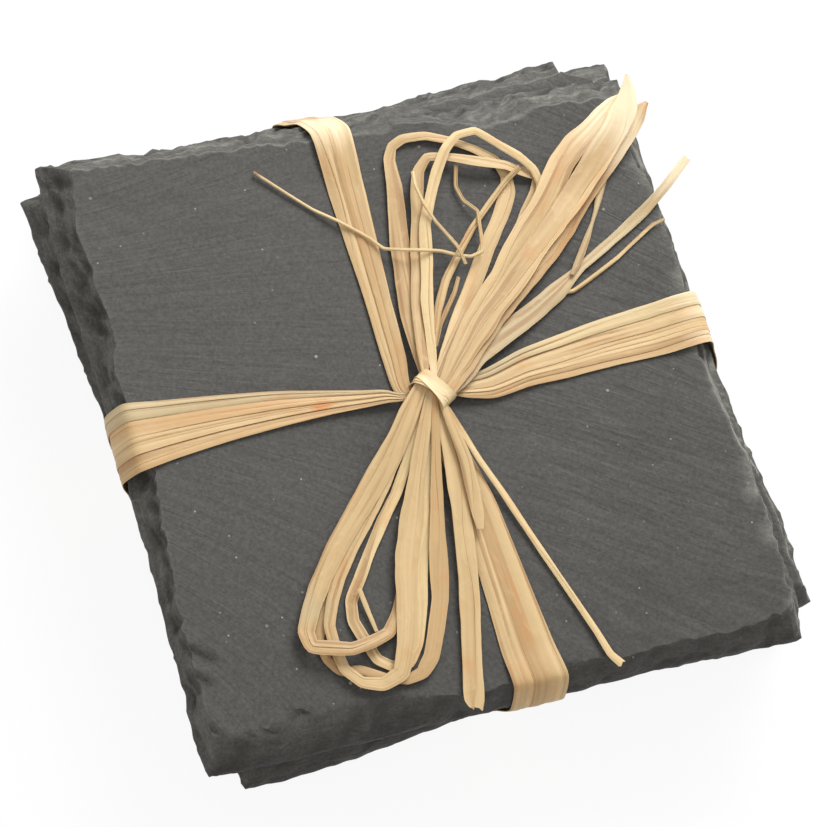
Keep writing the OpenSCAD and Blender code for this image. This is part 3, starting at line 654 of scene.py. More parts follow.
def groove(x, y):
    """Depth of the short grooves at a place: sharp on one flank, slow on the other."""
    deep = 0
    for a, b, c, d in GROOVES:
        along = ((x - a) * (c - a) + (y - b) * (d - b)) / ((c - a) ** 2 + (d - b) ** 2)
        off = ((x - a) * (d - b) - (y - b) * (c - a)) / math.hypot(c - a, d - b)
        if -0.1 < along < 1.1:
            flank = max(0, 1 - abs(off) / (FLANKS[0] if off < 0 else FLANKS[1]))
            deep = max(deep, flank * min(1, (1.1 - abs(2 * along - 1)) * 2))
    return deep


# The way that the slate's grain runs, in degrees, and how deep a groove is (mm)
GRAIN_TURN = -35
GROOVE_DEPTH = 0.55


def split_face(x, y, seed, deep):
    """Height of the split face: slow hollows, a low grain across them and thin cleaved steps."""
    p = Vector((x / 30, y / 30, seed * 3.7))
    slow = noise.fractal(p, 1.0, 2.0, 3)
    along, across = turned((x, y), -GRAIN_TURN)
    grain = noise.noise(Vector((along / 14, across / 1.9, seed)))
    steps = noise.noise(Vector((along / 26, across / 9, seed + 9))) * 4
    step = math.floor(steps) + min(1, (steps - math.floor(steps)) * 5)
    rise = deep * (0.75 * slow + 0.22 * grain + 0.12 * step - 0.25)
    return min(0.04, rise)


def border(i, j, n):
    """Place along the outline, from the front left corner, of a point of the grid's rim."""
    if j == 0:
        return i
    if i == n:
        return n + j
    if j == n:
        return 3 * n - i
    return 4 * n - j if i == 0 else None


def spread_face(ring, count, cells):
    """Where the points of a grid lie (mm) when its sides are drawn to those of a ring."""
    front, right = ring[:count + 1, :2], ring[count:2 * count + 1, :2]
    back = ring[2 * count:3 * count + 1, :2][::-1]
    left = np.vstack([ring[3 * count:, :2], ring[:1, :2]])[::-1]
    for i, j in cells:
        u, v = i / count, j / count
        yield (front[i] * (1 - v) + back[i] * v + left[j] * (1 - u) + right[j] * u
               - front[0] * (1 - u) * (1 - v) - front[-1] * u * (1 - v)
               - back[0] * (1 - u) * v - back[-1] * u * v)


def grow_ring(piece, now, ring):
    """Extrudes the open rim, whose points are now, to a ring (mm) that lies lower all along.
    Returns the new points, in the order of the old ones."""
    with editing("DESELECT"):
        select_open_edges()
        bpy.ops.mesh.extrude_region_move()
    co = coords(piece)
    old = {tuple(np.round(co[k], 8)): b for b, k in enumerate(now)}
    grown = [None] * len(now)
    for k in range(len(co) - len(now), len(co)):
        grown[old[tuple(np.round(co[k], 8))]] = k
    low = co[now, 2] - LEAST_LOWER * MM
    co[grown] = ring * MM
    co[grown, 2] = np.minimum(co[grown, 2], low)
    place(piece, co)
    return grown


class Wear:
    """What each ring of a slate's dressed edge is like, for the stone's finish to read."""

    def __init__(self, plan, count, shells):
        self.seed, self.shells = plan.seed, shells
        self.run = np.arange(4 * count) * plan.side / count
        self.sharp, self.bright, self.scarred, self.foot, self.pit_shade = (
            np.repeat(v, count) for v in (SHARP, SIDE_HIGHLIGHT, HEADWALL_SHADE, FOOT_SHADE, PIT_SHADE))

    def ring(self, r):
        """How broken a ring is, its painted shade, its pale bruises and painted highlight, and how
        rusty it is, by its number from the face down.
        """
        if r == 0:
            # The face's rim: painted highlight on the lit sides
            return {"edge": 0.4 * self.sharp, "bruise_and_highlight": self.bright * 0.5}
        if r >= len(HEIGHTS):
            return {"edge": 0.3}
        # Painted shade: dark arcs under the shells' headwalls above, dark pits below, and more
        # shade towards the foot
        shaded_heads = self.scarred * np.clip(2.4 * wave(self.run / 2.8, self.seed + 40) - 1.2, 0, 0.8)
        shaded_pits = self.pit_shade * np.clip(6 * wave(self.run / 1.3, 7 + r // 2) - 4.5, 0, 1)
        shaded_marks = shaded_heads if r < 4 else shaded_pits if r > 6 else 0
        # Painted highlight: a pale line under the face and pale flecks lower down, on the lit
        # sides and on the raised shells
        if r == 1:
            bruise_and_highlight_share = 0.4 + wave(self.run / 6, self.seed + 20) * wave(self.run / 1.6, 1)
        else:
            bruise_and_highlight_share = wave(self.run / 5, self.seed + 20 + r // 3) * np.clip(
                3 * wave(self.run / 0.9, r) - 1.8, 0, 0.7)
        bruise_and_highlight_share = bruise_and_highlight_share + np.clip(-5 * self.shells[r], 0, 0.5)
        return {"edge": np.minimum(1, 0.4 * self.sharp + 0.4 * r * self.sharp),
                "painted_shade": np.clip(self.shells[r] + self.foot * (1 - HEIGHTS[r]) + shaded_marks, 0, 1),
                "bruise_and_highlight": self.bright * np.clip(bruise_and_highlight_share, 0, 0.8),
                "rim": max(0, 1 - HEIGHTS[r] / RUSTY)}


def make_slate(name, count, material):
    s = bpy.context.scene.slate
    plan = Slate(name)
    # shells: each ring's painted shade, from its shells' depth and its side
    rings, shells = zip(*plan.rings(count))
    wear = Wear(plan, count, shells)
    alone()
    bpy.ops.mesh.primitive_grid_add(x_subdivisions=count, y_subdivisions=count, size=1)
    piece = bpy.context.object
    piece.name = piece.data.name = "cleft_" + name
    co = coords(piece)
    cells = np.rint((co[:, :2] + 0.5) * count).astype(int)
    marks = {key: np.zeros(len(co)) for key in ("edge", "painted_shade", "bruise_and_highlight", "rim")}
    if name == "slate_top":
        # A pale band runs a few cells in from the right edge
        bruise = np.clip(1 - (count - cells[:, 0]) / 6, 0, 1) * np.clip(
            3 * wave(cells[:, 1] * plan.side / count / 4.5, 51) - 1.3, 0, 1)
        marks["edge"], marks["bruise_and_highlight"] = 0.6 * bruise, bruise
    for k, xy in enumerate(spread_face(rings[0], count, cells)):
        rise = split_face(*xy, plan.seed, s.undulation / MM)
        if name == "slate_top":
            rise -= GROOVE_DEPTH * groove(*xy)
            # Painted shade in the short grooves
            marks["painted_shade"][k] = groove(*xy) ** 1.4
        co[k] = (*xy, plan.top + rise)
    place(piece, co * MM)
    rim = {border(i, j, count): k for k, (i, j) in enumerate(cells)}
    now = [rim[b] for b in range(4 * count)]
    under = [plan.shift + (rings[-1][:, :2] - plan.shift) * k for k in UNDERSIDE]
    laid = [*rings, *(np.column_stack([ring, np.full(4 * count, plan.base)])
                      for ring in under)]
    for r, ring in enumerate(laid):
        if r:
            now = grow_ring(piece, now, ring)
            marks = {key: np.append(v, np.zeros(4 * count)) for key, v in marks.items()}
        for key, values in wear.ring(r).items():
            marks[key][now] = np.maximum(marks[key][now], values)
    with editing("DESELECT"):
        select_open_edges()
        bpy.ops.mesh.edge_face_add()
        bpy.ops.mesh.select_all(action="SELECT")
        bpy.ops.mesh.normals_make_consistent(inside=False)
    for key, values in marks.items():
        mark(piece, key, values)
    smooth(piece, 26)
    settle(piece, [name], material)


# -------------------------------------------------------------------- raffia
# Thickness of a spread strip and of one that is bunched up (mm), the width at
# which it starts to bunch, and the width under which it is a round fibre
THIN = 0.35
FULL = 0.65
SPREAD = 2.6
NARROW = 1.35
# How far from its ends a strip leans less, and how far back a torn end reaches (mm)
STEADY_END = 4
TORN_END = 2.5


def thickness(w):
    """A strip's thickness from its width (mm): it keeps its stuff as it bunches."""
    return max(THIN, min(FULL, THIN * SPREAD / w, w * 0.8))


def spline(stations, spacing, closed, ease):
    """Even stations on a line through the given ones, and how far along each is. The less
    ease, the straighter the line between stations and the sharper its turns at them."""
    p = np.array(stations, float)
    if closed:
        p = np.vstack([p[-1], p, p[0], p[1]])
    else:
        p = np.vstack([2 * p[0] - p[1], p, 2 * p[-1] - p[-2]])
    d = np.linalg.norm(np.diff(p[:, :3], axis=0), axis=1).clip(1e-6)
    fine = []
    for i in range(len(p) - 3):
        a, b, c, e = p[i:i + 4]
        d0, d1, d2 = d[i:i + 3]
        out = ease * d1 * ((b - a) / d0 * d1 + (c - b) / d1 * d0) / (d0 + d1)
        into = ease * d1 * ((c - b) / d1 * d2 + (e - c) / d2 * d1) / (d1 + d2)
        steps = max(3, math.ceil(d1 * 4 / spacing))
        for k in np.arange(steps) / steps:
            fine.append(b * (2 * k ** 3 - 3 * k ** 2 + 1) + out * (k ** 3 - 2 * k ** 2 + k)
                        + c * (3 * k ** 2 - 2 * k ** 3) + into * (k ** 3 - k ** 2))
    fine.append(p[-3] if closed else p[-2])
    if closed:
        fine[-1] = p[1]
    fine = np.array(fine)
    run = np.append(0, np.cumsum(np.linalg.norm(np.diff(fine[:, :3], axis=0), axis=1)))
    even = np.linspace(0, run[-1], max(8, math.ceil(run[-1] / spacing)) + 1)
    return np.column_stack([np.interp(even, run, fine[:, c]) for c in range(p.shape[1])]), even


# Places across a facet, from one fold to the next
ACROSS = np.array((0, 0.06, 0.35, 0.65, 0.94, 1))


def facets(pleats, seed, drift, bow):
    """The columns of a strip with so many lengthwise folds, row by row: place across it, height as
    a share of half its thickness, and painted shading, from 0 for the shade under a fold to 1.3
    for the highlight on it."""
    n = pleats + 1
    rows = len(drift)
    k = np.arange(1, n)
    wander = 0.7 if n == 2 else 0.3
    walls = k / n - 0.5 + (0.2 * toss(k, seed)
                           + wander * sway(drift / 11 + 9 * k, seed + 1)) / n
    walls = np.hstack([np.full((rows, 1), -0.5), walls, np.full((rows, 1), 0.5)])
    j = np.arange(n)
    level = 0.2 * toss(j, seed + 2) + 0.7 * sway(drift / 16 + 7 * j, seed + 3)
    tilt = 0.4 * toss(j, seed + 4) + 0.4 * sway(drift / 13 + 3 * j, seed + 5)
    c = ACROSS[None, None]
    at = walls[:, :-1, None] + (walls[:, 1:] - walls[:, :-1])[..., None] * c
    high = level[..., None] + tilt[..., None] * (c - 0.5) + bow * (1 - (2 * c - 1) ** 2)
    shade = np.ones_like(at)
    # Painted highlight on the strip's outer edges, painted shade on the low side of each fold
    shade[:, 0, 0] = shade[:, -1, -1] = 1.25
    drop = high[:, 1:, 0] - high[:, :-1, -1]
    shade[:, :-1, -1] = 1 - np.clip(drop / 0.7, -0.3, 1)
    shade[:, 1:, 0] = 1 - np.clip(-drop / 0.7, -0.3, 1)
    live = np.clip(2.4 * wave(drift / 5 + 11 * np.arange(n + 1), seed + 6) - 0.5, 0.15, 1)
    shade[:, :, 0] = 1 + (shade[:, :, 0] - 1) * live[:, :-1]
    shade[:, :, -1] = 1 + (shade[:, :, -1] - 1) * live[:, 1:]
    at[:, :-1, -1] -= 0.006
    at[:, 1:, 0] += 0.006
    return [a.reshape(rows, -1) for a in (at, np.clip(high, -1, 1), shade)]


def directions(centre, closed, held):
    """Unit vectors ahead, aside and up along a line. Aside is level, or near to held."""
    if closed:
        ahead = np.roll(centre[:-1], -1, 0) - np.roll(centre[:-1], 1, 0)
        ahead = np.vstack([ahead, ahead[:1]])
    else:
        ahead = np.gradient(centre, axis=0)
    ahead /= np.linalg.norm(ahead, axis=1)[:, None]
    if held is None:
        side = np.cross(ahead, (0, 0, 1))
    else:
        side = np.array(held, float) - ahead * (ahead @ np.array(held, float))[:, None]
    side /= np.linalg.norm(side, axis=1)[:, None].clip(1e-6)
    return ahead, side, np.cross(side, ahead)


def run_fibres(piece, wide, long, seed):
    """Sets the map that the fibres follow to metres across and along the strip."""
    fibres = piece.data.uv_layers[0]
    fibres.name = "fibres"
    uv = np.empty(len(fibres.data) * 2)
    fibres.data.foreach_get("uv", uv)
    uv = uv.reshape(-1, 2) * (wide * MM, long * MM) + (seed * 0.0137, seed * 0.031)
    fibres.data.foreach_set("uv", uv.ravel())


def lay_strip(name, nodes, stations, seed, pleats, material, spacing, closed=False,
              held=None, roll=0.0, ragged=0.0, lap=0.0, spread=1.0, ease=1.0):
    """A strip of raffia along its stations (x, y, z, width, thickness in mm): a grid laid on
    the line, folded lengthwise, and given the thickness of the skin. It may be held with one
    way aside, roll about its line by degrees, end ragged (mm), and lap over its neighbour."""
    s = bpy.context.scene.raffia
    film, curl = s.film / MM, s.curl / MM
    line, run = spline(stations, spacing, closed, ease)
    rows = len(line)
    centre, width, thick = line[:, :3], line[:, 3].clip(0.3) * spread, line[:, 4].clip(0.2)
    ahead, side, up = directions(centre, closed, held)
    if not closed:
        width = width * (1 + 0.16 * (wave(run / 4.7, seed + 17) - 0.5))
    left = run[-1] - run
    fade = np.ones(rows) if closed else np.clip(np.minimum(run, left) / STEADY_END, 0, 1)
    lean = np.radians(roll) * 2 * (wave(run / 13, seed + 7) - 0.5) * fade
    side, up = (side * np.cos(lean)[:, None] + up * np.sin(lean)[:, None],
                up * np.cos(lean)[:, None] - side * np.sin(lean)[:, None])
    # What the folds follow: the way along the strip, or one that comes back on a closed one
    drift = (np.sin(run * (math.tau / run[-1])) * run[-1] / 9 if closed else run)[:, None]
    wide = float(width.max())
    narrow = wide < NARROW
    v, body, fold_shading = facets(pleats, seed, drift, 0.7 if narrow else 0.12)
    lines = v.shape[1] - 1
    calm = 1 if narrow else np.clip(width / 2, 0.35, 1)
    high = body * ((thick - film) * calm)[:, None] / 2 * s.pleat
    high = high - curl * (2 * np.abs(v)) ** 4 + v * lap * fade[:, None]
    ruffle = 0.03 * (wave(drift / 2.1, seed + 11) - 0.5) * np.sign(v) + 0.025 * (
        wave(drift / 4.3, seed + 13) - 0.5)
    across = (v + ruffle * np.abs(2 * v) ** 3) * width[:, None]
    points = (centre[:, None] + side[:, None] * across[..., None] + up[:, None] * high[..., None])
    points[..., 2] = np.maximum(points[..., 2], film / 2)
    if ragged:
        # A torn end: every facet is pulled back by its own length
        jag = chance(np.arange(lines + 1) // 2 * 3 + seed, seed)[None] * 0.6 + 0.4 * (0.5 + v)
        pull = np.clip(1 - left / TORN_END, 0, 1)[:, None] * jag * ragged
        points = points - ahead[:, None] * pull[..., None]
    alone()
    bpy.ops.mesh.primitive_grid_add(x_subdivisions=lines, y_subdivisions=rows - 1, size=1)
    piece = bpy.context.object
    piece.name = piece.data.name = name
    co = coords(piece)
    i = np.rint((co[:, 0] + 0.5) * lines).astype(int)
    j = np.rint((co[:, 1] + 0.5) * (rows - 1)).astype(int)
    place(piece, points[j, i] * MM)
    mark(piece, "fold_shading", fold_shading[j, i])
    run_fibres(piece, wide, run[-1], seed)
    if closed:
        with editing("SELECT"):
            bpy.ops.mesh.remove_doubles(threshold=1e-7)
    apply_modifier(piece, "SOLIDIFY", thickness=s.film, offset=0)
    smooth(piece, 35)
    settle(piece, nodes, material)
    return piece, centre


# The side of a slate that a tie crosses, by its axis and its way
SIDE_OF = {(0, -1): LEFT, (0, 1): RIGHT, (1, -1): FRONT, (1, 1): BACK}
# The two ties: width at each edge (mm), where they cross it as a share of the
# slate's side, and stations from the knot out: share of the way, share of the
# edge width, sideways bow, lift off the slate
STRANDS = {0: 4, 1: 3}
EDGE_SHARES = {0: (-0.014, 0.012), 1: (0.015, -0.057)}
EDGE_WIDTHS = {0: (10.8, 8.9), 1: (8.7, 6.3)}
FANS = {
    (0, -1): ((0.075, 0.09, -0.01, 1), (0.11, 0.13, 0, 1), (0.15, 0.2, 0.04, 1),
              (0.22, 0.26, 0.06, 0.6), (0.34, 0.36, 0.09, 0.2), (0.5, 0.52, 0.11, 0),
              (0.7, 0.69, 0.09, 0), (0.9, 0.88, 0.04, 0)),
    (0, 1): ((0.05, 0.2, -0.03, 1), (0.115, 0.37, -0.085, 0.8), (0.2, 0.54, -0.12, 0.35),
             (0.34, 0.68, -0.02, 0.15), (0.48, 0.8, 0, 0), (0.62, 0.87, 0.02, 0),
             (0.8, 0.96, 0.01, 0)),
    (1, 1): ((0.12, 0.6, 0, 0), (0.34, 0.66, 0, 0), (0.54, 0.78, 0, 0), (0.76, 0.92, 0, 0)),
    (1, -1): ((0.17, 0.55, 0.09, 0), (0.34, 0.68, 0.12, 0), (0.52, 0.77, 0.08, 0),
              (0.7, 0.85, 0.04, 0), (0.88, 0.95, 0, 0)),
}
# Air between two strips, and under one (mm), and a strand's width under the knot
STRIP_GAP = 0.1
LAY_GAP = 0.1
WAIST = 0.52
# Height of a slate's widest place, as a share of its thickness, and the ties'
# stations underneath, in from it (mm)
WIDEST = 0.16
UNDER_RUN = (0, 2, 14)
# The knot's middle (mm), and the ways along the bow and across it
KNOT = np.array([-2.3, -3.3])
KNOT_TURN = math.radians(34.5)
ALONG_D = np.array([math.cos(KNOT_TURN), math.sin(KNOT_TURN), 0])
ALONG_E = np.array([math.sin(KNOT_TURN), -math.cos(KNOT_TURN), 0])
# The wrap (mm): height of its middle, width, half width and half height of its ring,
# turns, steps, how far past it the tie beside it stays straight, and its thickness
WRAP_MID = 26.2
WRAP_W = 2.5
WRAP_HALF, WRAP_HALF_HIGH = 3.1, 1.75
WRAP_TURNS = 2.25
WRAP_STEPS = 60
WRAP_PAST = 3.4
WRAP_THICK = 0.5
# The wrap's way along the bow and its width (mm), by the share of its length
WRAP_DRIFT = ((0, 0), (0.13, 0.8), (0.36, -0.9), (0.58, -0.3), (0.8, 0.4), (1, 0))
WRAP_WIDTH = ((0, 1.8), (0.3, 2.2), (0.58, 3), (0.69, 2.6), (0.8, 1.9), (1, 1.7))
# The squeezed bundle (mm): height of its underside, half length, half width and
# half height
CORE_Z = 25.95
CORE = (1.9, 2.46, 0.8)
# Height of the top slate's face (mm)
LAY_Z = 24.0
# A strip's root in the knot (mm): pitch of the roots across and up, way out from the
# middle, width and thickness
ROOT_PITCH = (0.98, 0.8)
ROOT_OUT, ROOT_W, ROOT_THICK = 0.55, 0.9, 0.5
# From the knot, a strip opens to this share of its width and goes this share of
# the way straight to its second station
OPENS, OUT = 0.75, 0.4


def knot_point(d, e, z):
    return np.array([*KNOT, z]) + ALONG_D * d + ALONG_E * e


def squared(v):
    """A sine or cosine made fuller, so that a ring gets flat sides."""
    return math.copysign(abs(v) ** (2 / 3), v)


def side_profile(stack, axis, way, place_at, under_z):
    """A tie's way down the stack, pulled taut over the edges: [run, height] pairs."""
    side = SIDE_OF[axis, way]
    out, heights = [], []
    for plan in stack:
        a, b = plan.corner(side), plan.corner(side + 1)
        share = (place_at - a[1 - axis]) / (b[1 - axis] - a[1 - axis])
        out.append(way * (a[axis] + (b[axis] - a[axis]) * share))
        heights.append(plan.base + plan.thick * WIDEST)
    taut = []
    for i in range(len(out)):
        best = out[i]
        for j in range(i):
            for k in range(i + 1, len(out)):
                share = (heights[i] - heights[j]) / (heights[k] - heights[j])
                best = max(best, mix(out[j], out[k], share))
        taut.append(best)
    return ([(way * (taut[0] - SLOPES[side] + LAY_GAP / 2), LAY_Z + LAY_GAP)]
            + [(way * (e + LAY_GAP), z) for e, z in zip(taut, heights)]
            + [(way * (taut[-1] - UNDER_SLOPE - d), under_z) for d in UNDER_RUN])


def arm(stack, axis, way, start, k, lift, under_z):
    """A strand from the knot to an edge and down to the underside: [run, height, place, width]."""
    n = STRANDS[axis]
    edge_at = EDGE_SHARES[axis][way > 0] * stack[0].side
    edge_w = EDGE_WIDTHS[axis][way > 0]
    slot = (k - (n - 1) / 2) / n
    reach = side_profile(stack, axis, way, edge_at + slot * edge_w, under_z)
    fan = [(mix(start[axis], reach[0][0], f[0]), LAY_Z + LAY_GAP + lift * f[3],
            mix(start[1 - axis], edge_at, f[0]) + f[2] * edge_w + slot * edge_w * f[1],
            edge_w * f[1] / n - STRIP_GAP) for f in FANS[axis, way]]
    return fan + [(r, z, edge_at + slot * edge_w, edge_w / n - STRIP_GAP) for r, z in reach]


def ring_stations(ring, axis):
    """Stations on a tie's inner face, moved out by half of the strip's thickness."""
    made = []
    for i, (run, z, at, w) in enumerate(ring):
        after, before = ring[(i + 1) % len(ring)], ring[i - 1]
        a, b = unit((run - before[0], z - before[1])), unit((after[0] - run, after[1] - z))
        m = unit(a + b)
        t = thickness(w) / 2 / max(0.5, float(m @ a))
        run, z = run - m[1] * t, z + m[0] * t
        made.append((run, at, z, w, thickness(w)) if axis == 0 else (at, run, z, w, thickness(w)))
    return made


def tie_ring(stack, axis, k):
    """One strand of a tie, right round the stack."""
    n = STRANDS[axis]
    under = stack[-1].base - LAY_GAP * 0.75
    if axis == 0:
        lift = FULL + STRIP_GAP + LAY_GAP
        left = arm(stack, 0, -1, KNOT, k, lift, under)
        right = arm(stack, 0, 1, KNOT, k, lift, under)
        middle = [(KNOT[0], LAY_Z + LAY_GAP + lift,
                   KNOT[1] + (k - (n - 1) / 2) * (WAIST + STRIP_GAP), WAIST)]
        return ring_stations(left[::-1] + middle + right, 0)
    under -= THIN + STRIP_GAP
    passing = WRAP_W / 2 + STRIP_GAP * 3 + 1.5 * (WAIST + STRIP_GAP) + WAIST / 4
    a, b, c = (knot_point(-passing, e, 0) for e in (-WRAP_PAST, 0, WRAP_PAST))
    waist = (WAIST * 1.3 + STRIP_GAP) / math.cos(KNOT_TURN)
    off, w = (k - (n - 1) / 2) * waist, waist - STRIP_GAP
    back = arm(stack, 1, 1, a, k, 0, under)
    front = arm(stack, 1, -1, c, k, 0, under)
    middle = [(p[1], LAY_Z + LAY_GAP, p[0] + off, w) for p in (c, b, a)]
    return ring_stations(front[::-1] + middle + back, 1)


